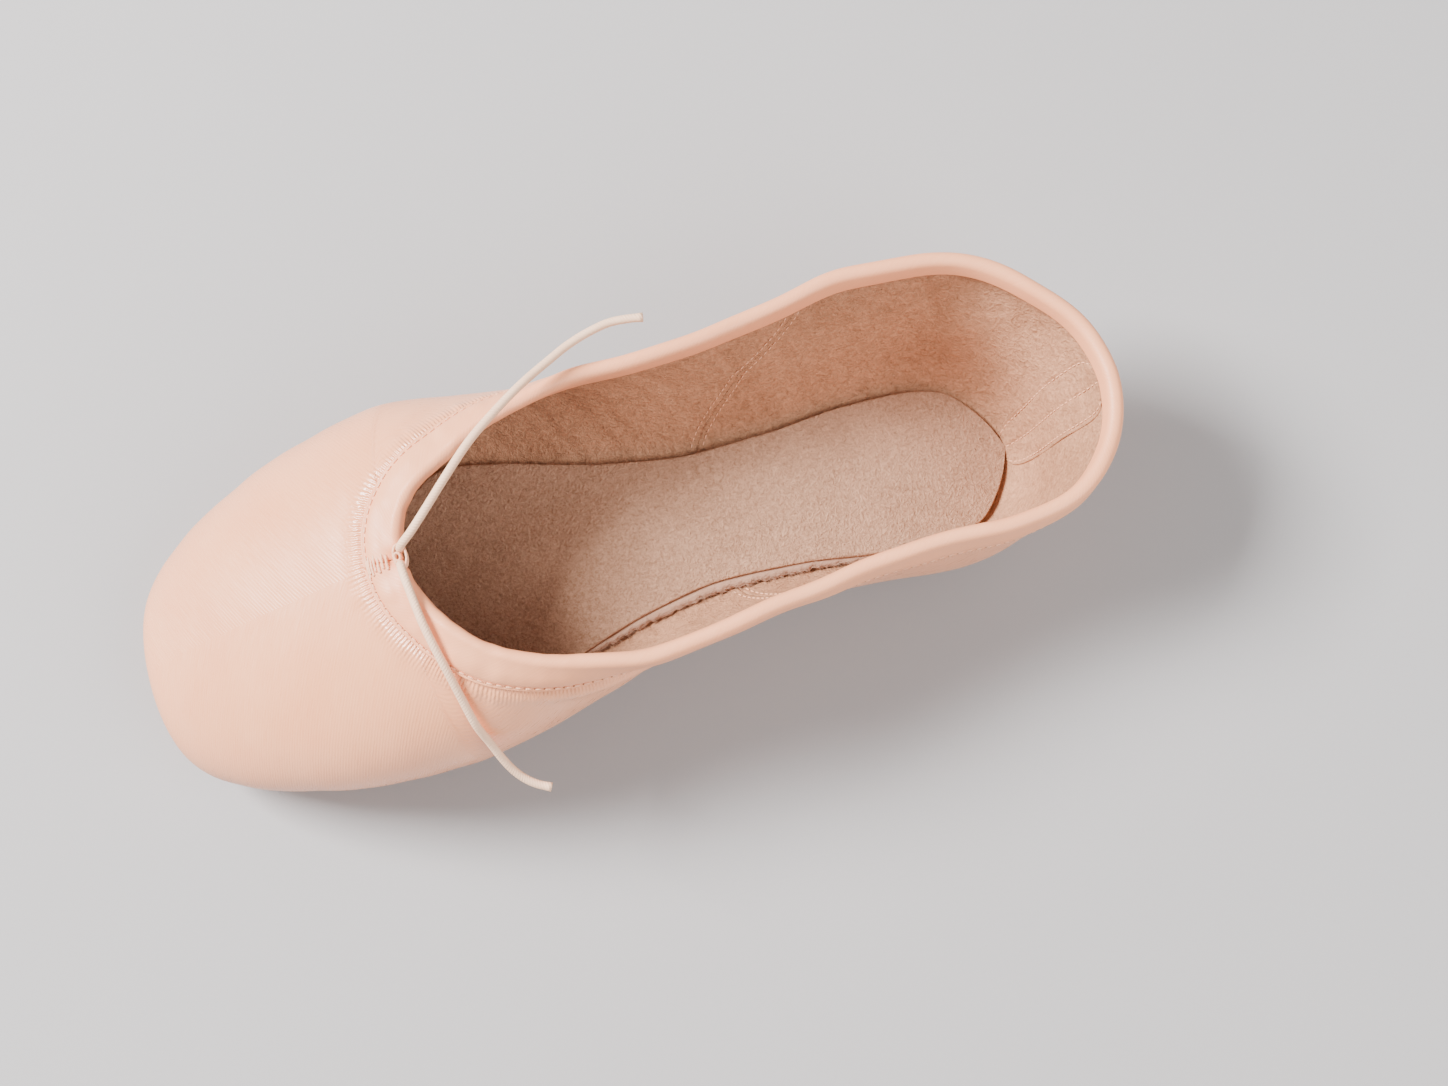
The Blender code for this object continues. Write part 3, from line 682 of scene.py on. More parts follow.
def dressed(piece: bpy.types.Object, finish: Finish, wall: float = 0.0) -> bpy.types.Object:
    """Gives a piece its finish and, for a sheet, its thickness.

    Args:
        piece: the mesh.
        finish: what covers it.
        wall: millimetres of thickness below its face; none if nil.

    Returns:
        The piece.
    """
    piece.data.materials.clear()
    piece.data.materials.append(finish.material())
    if wall:
        solid = piece.modifiers.new("thickness", "SOLIDIFY")
        solid.thickness = wall * MM
        solid.offset = -1
    return piece


def bends(piece: bpy.types.Object, *nodes: str) -> bpy.types.Object:
    """Bakes a piece's place into its mesh and hides these nodes, which it stands in for."""
    start, end = (FORM.place(np.array((u, 0, BLEND_HEIGHT))) for u in BLEND_SPAN)
    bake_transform(piece)
    if nodes:
        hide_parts(*nodes)
    log.info("%s: %d faces", piece.name, len(piece.data.polygons))
    return piece


def bends_in(piece: bpy.types.Object) -> bpy.types.Object:
    """Passes a piece of threads or fibres to bends, which bakes its place into its mesh."""
    return bends(piece)


@dataclass(frozen=True)
class Studio:
    """Camera, floor and soft light."""

    camera_place: tuple[float, float, float] = (0.05688, -0.12927, 0.60162)
    camera_turn: tuple[float, float, float] = (10.624, 6.143, -15.125)
    lens: float = 56.74
    sensor: float = 36.0
    floor_size: float = 6.0
    sky: str = "#DEDCDC"
    sky_strength: float = 0.66
    lamps: tuple[tuple[str, tuple[float, float, float], float, float], ...] = (
        ("key", (-0.90, 0.62, 1.25), 0.62, 98.0), ("fill", (0.60, -0.60, 0.80), 0.8, 13.0))

    def add_camera(self) -> None:
        """The camera, made first."""
        data = bpy.data.cameras.new("camera")
        data.lens, data.sensor_width = self.lens, self.sensor
        camera = bpy.data.objects.new("camera", data)
        camera.location = self.camera_place
        camera.rotation_euler = [math.radians(turn) for turn in self.camera_turn]
        bpy.context.scene.collection.objects.link(camera)
        bpy.context.scene.camera = camera

    def add_floor(self) -> None:
        """A plain pale floor just under the slipper."""
        half, steps = self.floor_size / 2, 3
        side = np.linspace(-half, half, steps)
        x, y = np.meshgrid(side, side, indexing="ij")
        points = row(x, y, -0.0002)
        floor = add_piece("floor", [Patch(points, points[..., :2], turned=True)])
        floor.data.materials.append(PAPER.material())

    def add_light(self, name: str, place: tuple[float, float, float], size: float, power: float) -> None:
        """A square soft light that faces the slipper."""
        data = bpy.data.lights.new(name, "AREA")
        data.size, data.energy = size, power
        light = bpy.data.objects.new(name, data)
        light.location = place
        light.rotation_euler = (-Vector(place)).to_track_quat("-Z", "Y").to_euler()
        bpy.context.scene.collection.objects.link(light)

    def add_lights(self) -> None:
        """Key from the upper left of the view, a softer fill from the near right and a pale sky."""
        for name, place, size, power in self.lamps:
            self.add_light(name, place, size, power)
        world = bpy.data.worlds.new("sky")
        world.use_nodes = True
        back = world.node_tree.nodes["Background"]
        back.inputs["Color"].default_value = linear(self.sky)
        back.inputs["Strength"].default_value = self.sky_strength
        bpy.context.scene.world = world


@dataclass(frozen=True)
class PathRepeat:
    """Stitches or fibres along a path, made by Geometry Nodes.

    Attributes:
        unit: what is repeated.
        pitch: millimetres between them.
        size: their size across, across and along, in millimetres.
        spread: how far each may be turned at random, in radians.
        seed: the seed of those turns.
    """

    unit: Unit
    pitch: float
    size: tuple[float, float, float]
    spread: float = 0.0
    seed: int = 3

    def tree(self) -> bpy.types.NodeTree:
        """The node tree for this unit, made once."""
        name = f"{self.unit.value}_row"
        if name in bpy.data.node_groups:
            return bpy.data.node_groups[name]
        tree = bpy.data.node_groups.new(name, "GeometryNodeTree")
        for label, kind in (("Path", "NodeSocketGeometry"), ("Pitch", "NodeSocketFloat"),
                            ("Size", "NodeSocketVector"), ("Spread", "NodeSocketFloat"),
                            ("Seed", "NodeSocketInt"), ("Finish", "NodeSocketMaterial")):
            tree.interface.new_socket(label, in_out="INPUT", socket_type=kind)
        tree.interface.new_socket("Row", in_out="OUTPUT", socket_type="NodeSocketGeometry")
        given = add_node(tree, "NodeGroupInput").outputs
        curve = add_node(tree, "GeometryNodeMeshToCurve", {0: given["Path"]})
        marks = add_node(tree, "GeometryNodeCurveToPoints",
                         {"Curve": curve.outputs[0], "Length": given["Pitch"]}, mode="LENGTH")
        if self.unit is Unit.STITCH:
            shape = add_node(tree, "GeometryNodeMeshUVSphere", {"Segments": 8, "Rings": 6, "Radius": 0.5})
        else:
            shape = add_node(tree, "GeometryNodeMeshCone",
                             {"Vertices": 4, "Radius Top": 0.1, "Radius Bottom": 0.5, "Depth": 1.0})
        sized = add_node(tree, "GeometryNodeTransform", {"Geometry": shape.outputs[0],
                                                         "Scale": given["Size"]})
        least = add_node(tree, "ShaderNodeMath", {0: given["Spread"], 1: -1.0}, operation="MULTIPLY")
        turn = add_node(tree, "FunctionNodeRandomValue",
                        {0: least.outputs[0], 1: given["Spread"], "Seed": given["Seed"]},
                        data_type="FLOAT_VECTOR")
        rotated = add_node(tree, "FunctionNodeRotateRotation",
                           {0: marks.outputs["Rotation"], 1: turn.outputs[0]})
        placed = add_node(tree, "GeometryNodeInstanceOnPoints",
                          {"Points": marks.outputs[0], "Instance": sized.outputs[0],
                           "Rotation": rotated.outputs[0]})
        real = add_node(tree, "GeometryNodeRealizeInstances", {0: placed.outputs[0]})
        soft = add_node(tree, "GeometryNodeSetShadeSmooth", {0: real.outputs[0]})
        finished = add_node(tree, "GeometryNodeSetMaterial",
                            {"Geometry": soft.outputs[0], "Material": given["Finish"]})
        add_node(tree, "NodeGroupOutput", {0: finished.outputs[0]})
        return tree

    def along(self, name: str, lines: list[Array], finish: Finish) -> bpy.types.Object:
        """One mesh of units along these lines.

        Args:
            name: the piece's name.
            lines: open paths, each points by 3, in metres.
            finish: what the units are made of.

        Returns:
            The new object, with no modifier.
        """
        counts = np.cumsum([0] + [len(line) for line in lines])
        edges = [(first + i, first + i + 1) for first, line in zip(counts, lines)
                 for i in range(len(line) - 1)]
        data = bpy.data.meshes.new(f"{name}_path")
        data.from_pydata(np.vstack(lines).tolist(), edges, [])
        path = bpy.data.objects.new(f"{name}_path", data)
        bpy.context.scene.collection.objects.link(path)
        modifier = path.modifiers.new("row", "NODES")
        tree = self.tree()
        modifier.node_group = tree
        sockets = {item.name: item.identifier for item in tree.interface.items_tree
                   if item.in_out == "INPUT"}
        values = {"Pitch": self.pitch * MM, "Size": tuple(size * MM for size in self.size),
                  "Spread": self.spread, "Seed": self.seed, "Finish": finish.material()}
        for label, value in values.items():
            modifier[sockets[label]] = value
        bpy.context.view_layer.update()
        graph = bpy.context.evaluated_depsgraph_get()
        mesh = bpy.data.meshes.new_from_object(path.evaluated_get(graph))
        bpy.data.objects.remove(path, do_unlink=True)
        mesh.name = name
        mesh.materials.clear()
        mesh.materials.append(finish.material())
        piece = bpy.data.objects.new(name, mesh)
        bpy.context.scene.collection.objects.link(piece)
        return piece


@dataclass
class Mouth:
    """The top edge of the upper, from the throat round the heel and back, with its directions."""

    stations: int = 760
    slit: float = 0.03
    line: Array = field(init=False)
    out: Array = field(init=False)
    off: Array = field(init=False)
    run: Array = field(init=False)
    skin: BVHTree = field(init=False)
    finder: KDTree = field(init=False)

    def __post_init__(self) -> None:
        """Works out the edge, its directions and the surface that it belongs to."""
        turns = np.linspace(0, math.pi / 2, 500)
        half = FORM.throat + (FORM.top_front_centre - FORM.throat) * (1 - np.cos(turns))
        half = np.concatenate((half, np.linspace(FORM.top_front_centre, FORM.back, 500)[1:]))
        edge = np.vstack((FORM.layer(-1, half, 3), FORM.layer(1, half[::-1][1:], 3)))
        runs = runs_of(edge)
        self.run = np.linspace(self.slit * MM, runs[-1] - self.slit * MM, self.stations)
        self.line = np.stack([np.interp(self.run, runs, column) for column in edge.T], axis=-1)
        self.skin = self.surface()
        ahead = unit(np.gradient(self.line, axis=0))
        inside = unit(np.cross((0.0, 0.0, 1.0), ahead))
        found = [self.skin.find_nearest(Vector(place))[1] for place in self.line - inside * 0.6 * MM]
        out = np.array(found)
        out = unit(out - ahead * (out * ahead).sum(axis=1, keepdims=True))
        for _ in range(6):
            out[1:-1] = unit(out[:-2] + 2 * out[1:-1] + out[2:])
        off = np.cross(ahead, out)
        away = (off * inside).sum(axis=1) + off[:, 2] * 0.5 < 0
        off[away] *= -1
        self.out, self.off = out, off
        self.finder = KDTree(len(self.line))
        for i, place in enumerate(self.line):
            self.finder.insert(place, i)
        self.finder.balance()

    def surface(self) -> BVHTree:
        """The slack outer skin as a surface to lay things on."""
        s = np.linspace(FORM.platform, FORM.back, 240)[:, None]
        t = np.linspace(0, 3, 64)[None, :]
        points, faces, first = [], [], 0
        for side in (-1, 1):
            grid = FORM.layer(side, s, t)
            index = first + np.arange(grid[..., 0].size).reshape(grid.shape[:2])
            quads = np.stack((index[:-1, :-1], index[:-1, 1:], index[1:, 1:], index[1:, :-1]), axis=-1)
            faces.append(quads.reshape(-1, 4)[:, ::side])
            points.append(grid.reshape(-1, 3))
            first += index.size
        return BVHTree.FromPolygons(np.vstack(points).tolist(), np.vstack(faces).tolist())

    def at(self, out: Array, up: Array) -> Array:
        """Places beside the edge.

        Args:
            out: millimetres out of the skin, stations by columns.
            up: millimetres off the edge; below nil they lie on the skin.

        Returns:
            The places, stations by columns by 3, in metres.
        """
        out, up = np.broadcast_arrays(np.asarray(out, float), np.asarray(up, float))
        places = self.line[:, None] + up[..., None] * MM * self.off[:, None]
        normals = np.broadcast_to(self.out[:, None], places.shape).copy()
        for i, j in zip(*np.nonzero(up < 0)):
            place, normal, _, _ = self.skin.find_nearest(Vector(places[i, j]))
            places[i, j] = place
            normals[i, j] = np.array(normal) + normals[i, j]
        return places + out[..., None] * MM * unit(normals)

    def seam_of(self, points: Array) -> Array:
        """Run from the throat, left of it positive, and distance from the edge, in metres."""
        flat = points.reshape(-1, 3)
        found = [self.finder.find(place)[1:] for place in flat]
        index = np.array([i for i, _ in found])
        away = np.array([distance for _, distance in found])
        ahead = unit(np.gradient(self.line, axis=0))[index]
        past = ((flat - self.line[index]) * ahead).sum(axis=1)
        run = self.run[index] + past
        run = np.where(run > self.run[-1] / 2, run - self.run[-1], run)
        return row(run, away, 0).reshape(points.shape)

    def from_throat(self) -> Array:
        """Millimetres along the edge to the throat, the shorter way."""
        return np.minimum(self.run, self.run[-1] + self.run[0] - self.run) / MM


@dataclass
class Drawstring:
    """The elastic cord: its two free ends and the loop that lies in the casing."""

    diameter: float = 2.1
    centre: float = -0.85
    height: float = 1.5
    points: int = 90
    flare: float = 1.14
    flare_length: float = 1.6
    route_points: int = 22
    left: tuple[tuple[float, float, float], ...] = (
        (0.0874, -0.0015, 0.0564), (0.0879, -0.0019, 0.0592), (0.0884, -0.0048, 0.0606),
        (0.0890, -0.0110, 0.0604), (0.0897, -0.0174, 0.0602), (0.0904, -0.0245, 0.0578),
        (0.0908, -0.0307, 0.0540), (0.0908, -0.0362, 0.0493), (0.0907, -0.0420, 0.0436),
        (0.0908, -0.0460, 0.0368), (0.0913, -0.0503, 0.0315), (0.0926, -0.0540, 0.0278),
        (0.0950, -0.0570, 0.0254), (0.0985, -0.0592, 0.0240))
    right: tuple[tuple[float, float, float], ...] = (
        (0.0874, 0.0015, 0.0564), (0.0882, 0.0018, 0.0590), (0.0916, 0.0038, 0.0612),
        (0.0960, 0.0080, 0.0622), (0.1020, 0.0146, 0.0628), (0.1075, 0.0212, 0.0616),
        (0.1131, 0.0269, 0.0594), (0.1186, 0.0320, 0.0570), (0.1247, 0.0366, 0.0546),
        (0.1307, 0.0403, 0.0532), (0.1381, 0.0425, 0.0526), (0.1446, 0.0415, 0.0530))

    def add_end(self, side: Side) -> None:
        """One free end, from the throat to its cut."""
        route = self.left if side is Side.LEFT else self.right
        path = eased(FORM.place(np.array(route) / MM), self.route_points)
        line = eased(path, self.points)
        to_cut = (runs_of(line)[-1] - runs_of(line)) / MM
        radius = self.diameter / 2 * MM * (1 + (self.flare - 1) * ramp(-to_cut, -self.flare_length, 0))
        piece = add_tube(f"cord_end_{side.name.lower()}", line, radius, 18)
        dressed(piece, CORD)
        bends(piece, f"drawstring_end_{side.name.lower()}")

    def add_loop(self, mouth: Mouth) -> None:
        """The hidden run of the cord round the mouth."""
        line = mouth.at(self.centre, np.full((mouth.stations, 1), self.height))[:, 0]
        hidden = mouth.from_throat() > 4
        piece = add_tube("cord_loop", line[hidden][::3], self.diameter / 2 * MM, 10)
        bends(dressed(piece, CORD), "drawstring_loop")


@dataclass
class Upper:
    """The satin outside and the suede lining of the upper."""

    satin: float = 0.6
    lining: float = 0.8
    lining_start: float = 16.0
    satin_seam: float = 145.0
    satin_slant: float = 6.0
    seam_low: float = 150.0
    seam_high: float = 177.0
    lining_depth: Table = ((-3, 3.9), (60, 3.9), (67, 2.0), (74, 0.9), (255, 0.9))
    pleat_pitch: float = 4.6
    pleat_depth: float = 0.7
    fold_height: float = 0.55
    back_seam: float = 0.45
    tuck: float = 0.4
    overlap: float = 1.0
    stay: float = 0.5
    stay_depth: float = 1.62
    stay_width: float = 8.0
    stay_span: tuple[float, float] = (1.3, 2.9)
    stay_rows: tuple[float, ...] = (0.0, 6.7)
    row_depth: float = 1.97

    def t_lines(self) -> Array:
        """Shares up the side, closer together at the mouth."""
        return np.concatenate((np.linspace(0, 1, 13)[:-1], np.linspace(1, 2, 29)[:-1],
                               np.linspace(2, 2.8, 28)[:-1], np.linspace(2.8, 3, 12)))

    def s_lines(self, start: float, end: float) -> Array:
        """Stations along the sole, closer together at the tip and the throat."""
        rows = np.concatenate((
            np.linspace(-3, 0, 12)[:-1], np.linspace(0, 12, 30)[:-1], np.linspace(12, 78, 76)[:-1],
            np.linspace(78, 85.5, 16)[:-1], 85.5 + 9.5 * np.linspace(0, 1, 30)[:-1] ** 2,
            np.linspace(95, 150, 72)[:-1], np.linspace(150, 255, 120)))
        rows = rows[(rows > start + 0.2) & (rows < end - 0.2)]
        return np.concatenate(([start], rows, [end]))

    def stretched(self, start: float, low_end: float, high_end: float, flip: bool) -> tuple[Array, Array]:
        """A grid of s and t whose one end slants from the sole to the mouth."""
        t = self.t_lines()[None, :]
        slant = low_end + (high_end - low_end) * ramp(t, 1.0, 3.0)
        lines = self.s_lines(start, max(low_end, high_end)) if not flip else self.s_lines(
            min(low_end, high_end), start)
        share = (lines - lines[0]) / (lines[-1] - lines[0])
        first, last = (slant, start) if flip else (start, slant)
        return first + (last - first) * share[:, None], np.broadcast_to(t, (len(lines), t.shape[1]))

    def box_relief(self, s: Array, t: Array, points: Array) -> Array:
        """Soft unevenness of satin drawn over the box, and the pleats and folds under it."""
        y = np.abs(points[..., 1]) / MM
        soft = 0.09 * waves(s + 0.4 * y, (31, 22, 13)) * ramp(s, 0, 12) * (1 - ramp(s, 120, 150))
        under = ramp(t, 0.02, 0.3) * (1 - ramp(t, 1.15, 1.75)) * (1 - ramp(s, 88, 112)) * ramp(s, 4, 12)
        pleats = self.pleat_depth * (np.abs(np.sin(math.pi * (s + 5 * t) / self.pleat_pitch)) ** 0.7 - 0.75)
        fold = ramp(y, 14.6, 15.7) * (1 - ramp(y, 15.9, 19.5)) * (1 - ramp(t, 1.75, 2.3))
        fold *= 1 - ramp(s, 6, 13)
        return soft + under * pleats + self.fold_height * fold

    def mouth_relief(self, mouth: Mouth, seam: Array) -> Array:
        """Puckers beside the casing's seam, strongest round the throat."""
        run, away = seam[..., 0] / MM, seam[..., 1] / MM
        near_throat = 1 - 0.8 * ramp(np.abs(run), 45, 110)
        valley = -0.35 * bump_at(away, 7.3, 0.9)
        swell = 0.4 * bump_at(away, 10.0, 2.4)
        puckers = 0.2 * waves(run, (3.1, 4.3, 5.9)) * bump_at(away, 10.0, 3.2)
        return (valley + swell + puckers) * near_throat

    def crease(self, side: float, s: Array, t: Array) -> Array:
        """A slack diagonal crease low on the left wall."""
        if side > 0:
            return np.zeros_like(s)
        across = t - (2.52 - 0.012 * (s - 112))
        return (0.8 * bump_at(across, 0, 0.09) - 0.6 * bump_at(across, 0.2, 0.1)) * bump_at(s, 122, 17)

    def satin_patch(self, mouth: Mouth, side: Side, s: Array, t: Array, tucked: bool = False) -> Patch:
        """The satin of one side as a grid, its end tucked under the next panel if asked."""
        sign = side.value
        rough = FORM.layer(sign, s, t)
        seam = mouth.seam_of(rough)
        relief = self.box_relief(s, t, rough) + self.crease(sign, s, t)
        relief = relief + self.mouth_relief(mouth, seam) * ramp(t, 2.0, 2.2)
        relief -= self.back_seam * bump_at(s, FORM.back, 1.0)
        if tucked:
            relief -= self.tuck * ramp(s - s[-1:], -2.4, -0.3)
        points = FORM.layer(sign, s, t, -relief)
        rounded = bump_at(s[:, 0], 0.6, 2.2)[:, None, None]
        for _ in range(14):
            points[1:-1] += (rounded[1:-1] * ((points[:-2] + points[2:]) / 2 - points[1:-1]))
        return Patch(points, cloth_of(points), seam, turned=sign < 0)

    def lining_patch(self, side: Side, s: Array, t: Array) -> Patch:
        """The lining of one side as a grid, with the soft lumps of suede."""
        lumps = 0.16 * waves(s + 11 * t, (13, 8.5, 5.7)) * ramp(s, 70, 90) * (1 - ramp(s, 225, 240))
        depth = smooth(self.lining_depth, s) - lumps
        points = FORM.layer(side.value, s, t, depth)
        return Patch(points, cloth_of(points), turned=side.value < 0)

    def add_satin(self, mouth: Mouth) -> None:
        """The vamp in one piece and a quarter on each side."""
        s, t = self.stretched(FORM.platform, self.satin_seam, self.satin_seam + self.satin_slant, flip=False)
        vamp = add_piece("vamp_satin", [self.satin_patch(mouth, side, s, t, tucked=True) for side in Side])
        bends(dressed(vamp, SATIN, self.satin), "satin_vamp")
        for side in Side:
            start = self.satin_seam - self.overlap
            s, t = self.stretched(FORM.back, start, start + self.satin_slant, flip=True)
            name = side.name.lower()
            quarter = add_piece(f"quarter_satin_{name}", [self.satin_patch(mouth, side, s, t)])
            bends(dressed(quarter, SATIN, self.satin), f"satin_quarter_{name}")

    def add_lining(self) -> None:
        """The lining of the vamp and of each quarter, which meet on a slanting seam."""
        s, t = self.stretched(self.lining_start, self.seam_low, self.seam_high, flip=False)
        vamp = add_piece("forepart_lining", [self.lining_patch(side, s, t) for side in Side])
        bends(dressed(vamp, LINING, self.lining), "vamp_lining")
        for side in Side:
            s, t = self.stretched(FORM.back, self.seam_low, self.seam_high, flip=True)
            name = side.name.lower()
            quarter = add_piece(f"heel_lining_{name}", [self.lining_patch(side, s, t)])
            bends(dressed(quarter, LINING, self.lining), f"quarter_lining_{name}")

    def stay_half(self, t: Array) -> Array:
        """Half-width of the heel stay at each height, with rounded corners, in stations."""
        low, high = self.stay_span
        share = np.clip((2 * np.asarray(t, float) - low - high) / (high - low), -1, 1)
        return self.stay_width * (1 - share**8) ** 0.5

    def add_stay(self) -> None:
        """The suede strip inside the back of the heel, drawn in at its stitched rows."""
        t = np.linspace(*self.stay_span, 60)[None, :]
        share = np.linspace(0, 1, 22)[:, None]
        s = FORM.back - share * self.stay_half(t)
        rows = sum(bump_at(self.stay_width * share, place, 0.8) for place in self.stay_rows)
        depth = self.stay_depth - 0.3 * rows + 0.12 * waves(s + 9 * t, (7, 4.6))
        patches = []
        for side in Side:
            points = FORM.layer(side.value, s, np.broadcast_to(t, s.shape), depth)
            patches.append(Patch(points, cloth_of(points), turned=side is Side.RIGHT))
        stay = add_piece("suede_stay", patches)
        dressed(stay, LINING, self.stay)
        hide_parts("heel_stay")
        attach(stay, HEEL_BODY)

    def inside(self, side: float, s: Array, t: Array, proud: float) -> Array:
        """A line on the face of the lining."""
        depth = smooth(self.lining_depth, s) + self.lining + proud
        return FORM.layer(side, s, t, depth)

    def add_seams(self) -> None:
        """Stitches along the lining's two side seams and down the rows of the heel stay."""
        t = np.linspace(1.3, 2.93, 120)
        slant = self.seam_low + (self.seam_high - self.seam_low) * ramp(t, 1.0, 3.0)
        sides = [self.inside(side.value, slant + shift, t, 0.1) for side in Side for shift in (-1.6, 1.6)]
        small = PathRepeat(Unit.STITCH, 1.9, (0.36, 0.36, 1.35))
        bends_in(small.along("lining_seam_stitches", sides, THREAD))
        t = np.linspace(1.4, 2.82, 120)
        middle, edge = self.stay_rows
        rows = [FORM.layer(side, FORM.back - place * self.stay_half(t) / self.stay_width, t, self.row_depth)
                for side, place in ((-1, edge), (1, middle), (1, edge))]
        heel = small.along("heel_row_stitches", rows, THREAD)
        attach(heel, HEEL_BODY)


@dataclass
class Casing:
    """The folded casing round the mouth, its seam and the threads at the throat."""

    wall: float = 0.6
    outside: float = 7.0
    inside: float = 1.8
    gap: float = 0.3
    inner_gap: float = 0.65
    bore: float = 1.4
    centre: float = -0.85
    height: float = 1.5
    seam: float = 6.1
    pinch: tuple[float, float] = (0.8, 3.4)
    seam_pitch: float = 2.35
    puff: float = 0.55
    ruffle: float = 0.22
    bind_heights: tuple[float, ...] = (57.75, 58.2, 58.65, 59.1)
    bind_place: float = 87.9
    thread_radius: float = 0.33

    def section(self, mouth: Mouth) -> tuple[Array, Array]:
        """The folded section at every station: out of the skin and off the edge, in millimetres."""
        throat = mouth.from_throat()[:, None]
        open_share = ramp(throat, *self.pinch)
        gather = self.ruffle * waves(mouth.run[:, None] / MM, (5.3, 7.9, 11.0)) * (1 - ramp(throat, 30, 80))
        puff = self.puff + 0.1 * waves(mouth.run[:, None] / MM, (23, 37)) + gather
        leg_out = self.gap + self.wall
        leg_in = 2 * self.centre - self.inner_gap - self.wall
        roll = (self.bore + self.wall) * (0.6 + 0.4 * open_share)
        hole = self.bore * (0.4 + 0.6 * open_share)
        middle = self.height - 1.0 * (1 - open_share)
        down = np.array((-7.0, -6.75, -6.4, -6.1, -5.8, -5.3, -4.6, -3.7, -2.7, -1.6, -0.6))
        dip = 0.3 * bump_at(down, -self.seam, 0.45) - 0.05
        pricks = 0.1 * np.cos(2 * math.pi * mouth.run[:, None] / MM / self.seam_pitch)
        face = leg_out - dip + puff * np.sin(math.pi * np.clip((down + 5.9) / 6.2, 0, 1)) ** 0.8
        face = face - pricks * bump_at(down, -self.seam, 0.6)
        turns = np.linspace(0, math.pi, 15)
        inward = -self.inside * np.array((0.1, 0.3, 0.5, 0.7, 0.86, 1.0))
        ones = np.ones_like(throat)
        out = [face, self.centre + roll * np.cos(turns) + (puff - 0.45) * np.sin(turns) * open_share,
               leg_in * ones + 0 * inward, (leg_in + self.wall) * ones + 0 * inward,
               self.centre + hole * np.cos(turns[::-2]), self.gap * ones + 0 * down[::-2]]
        up = [down + 0 * throat, middle + roll * np.sin(turns), inward + 0 * throat,
              inward[::-1] + 0 * throat, middle + hole * np.sin(turns[::-2]), down[::-2] + 0 * throat]
        out, up = np.concatenate(out, axis=1), np.concatenate(up, axis=1)
        return np.hstack((out, out[:, :1])), np.hstack((up, up[:, :1]))

    def add_fold(self, mouth: Mouth) -> None:
        """The casing itself, closed at its two ends."""
        out, up = self.section(mouth)
        points = mouth.at(out, up)
        for _ in range(3):
            points[1:-1] = (points[:-2] + 2 * points[1:-1] + points[2:]) / 4
        columns = np.cumsum(np.hstack(([0.0], np.hypot(np.diff(out[200]), np.diff(up[200]))))) * MM
        cloth = row(mouth.run[:, None], columns[None, :])
        patches = [Patch(points, cloth)]
        for end in (0, -1):
            ring = points[end]
            half = (len(ring) - 1) // 2
            cap = np.stack((ring[:half + 1], ring[::-1][:half + 1]))
            patches.append(Patch(cap, cloth[:2, :half + 1]))
        fold = add_piece("casing_fold", patches, recalculate=True)
        bends(dressed(fold, CASING), "drawstring_casing")

    def add_seam(self, mouth: Mouth) -> None:
        """The row of stitches along the casing's outer edge, with a prick of painted shade between each two.
        """
        face = np.full((mouth.stations, 1), self.gap + self.wall + 0.02)
        line = mouth.at(face, -self.seam)[:, 0]
        for _ in range(3):
            line[1:-1] = (line[:-2] + 2 * line[1:-1] + line[2:]) / 4
        line = evened(line, 1200)
        seam = PathRepeat(Unit.STITCH, self.seam_pitch, (0.52, 0.52, 1.7), 0.06)
        bends_in(seam.along("casing_stitches", [line], THREAD))
        shifted = line[np.searchsorted(runs_of(line), self.seam_pitch / 2 * MM):]
        # Dark dots of painted shade, where the needle's holes hold only shade.
        pricks = PathRepeat(Unit.STITCH, self.seam_pitch, (0.42, 0.42, 0.5))
        bends_in(pricks.along("casing_prick_shade", [shifted], PRICK_SHADE))

    def add_bartack(self, mouth: Mouth) -> None:
        """Threads that bind the two cord ends and close the two ends of the casing."""
        tubes = []
        for k, height in enumerate(self.bind_heights):
            turn = np.linspace(0, 2 * math.pi, 17) + 0.9 * k
            loop = row(self.bind_place + 0.1 * k + 1.32 * np.cos(turn), 2.95 * np.sin(turn),
                       height + 0.2 * np.sin(2 * turn + k))
            tubes.append(eased(FORM.place(loop), 60))
            core = row(self.bind_place - 0.3 + 0.6 * np.cos(turn), 0.95 * np.sin(turn),
                       height + 0.15 * np.sin(turn))
            tubes.append(eased(FORM.place(core), 40))
        out, up = self.section(mouth)
        face = mouth.at(out[:, 3:11] + 0.1, up[:, 3:11])
        for column in range(face.shape[1]):
            left, right = face[1 + column % 2, column], face[-2 - (column + 1) % 2, column]
            over = (left + right) / 2 + 0.2 * MM * (mouth.out[0] + mouth.out[-1]) / 2
            tubes.append(eased(np.stack((left - over + left, left, over, right, right - over + right)), 16))
        pieces = [add_tube(f"tack_{k}", line, self.thread_radius * MM, 8) for k, line in enumerate(tubes)]
        with bpy.context.temp_override(active_object=pieces[0], selected_editable_objects=pieces):
            bpy.ops.object.join()
        tack = pieces[0]
        tack.name = tack.data.name = "throat_threads"
        bends(dressed(tack, THREAD), "throat_bartack")


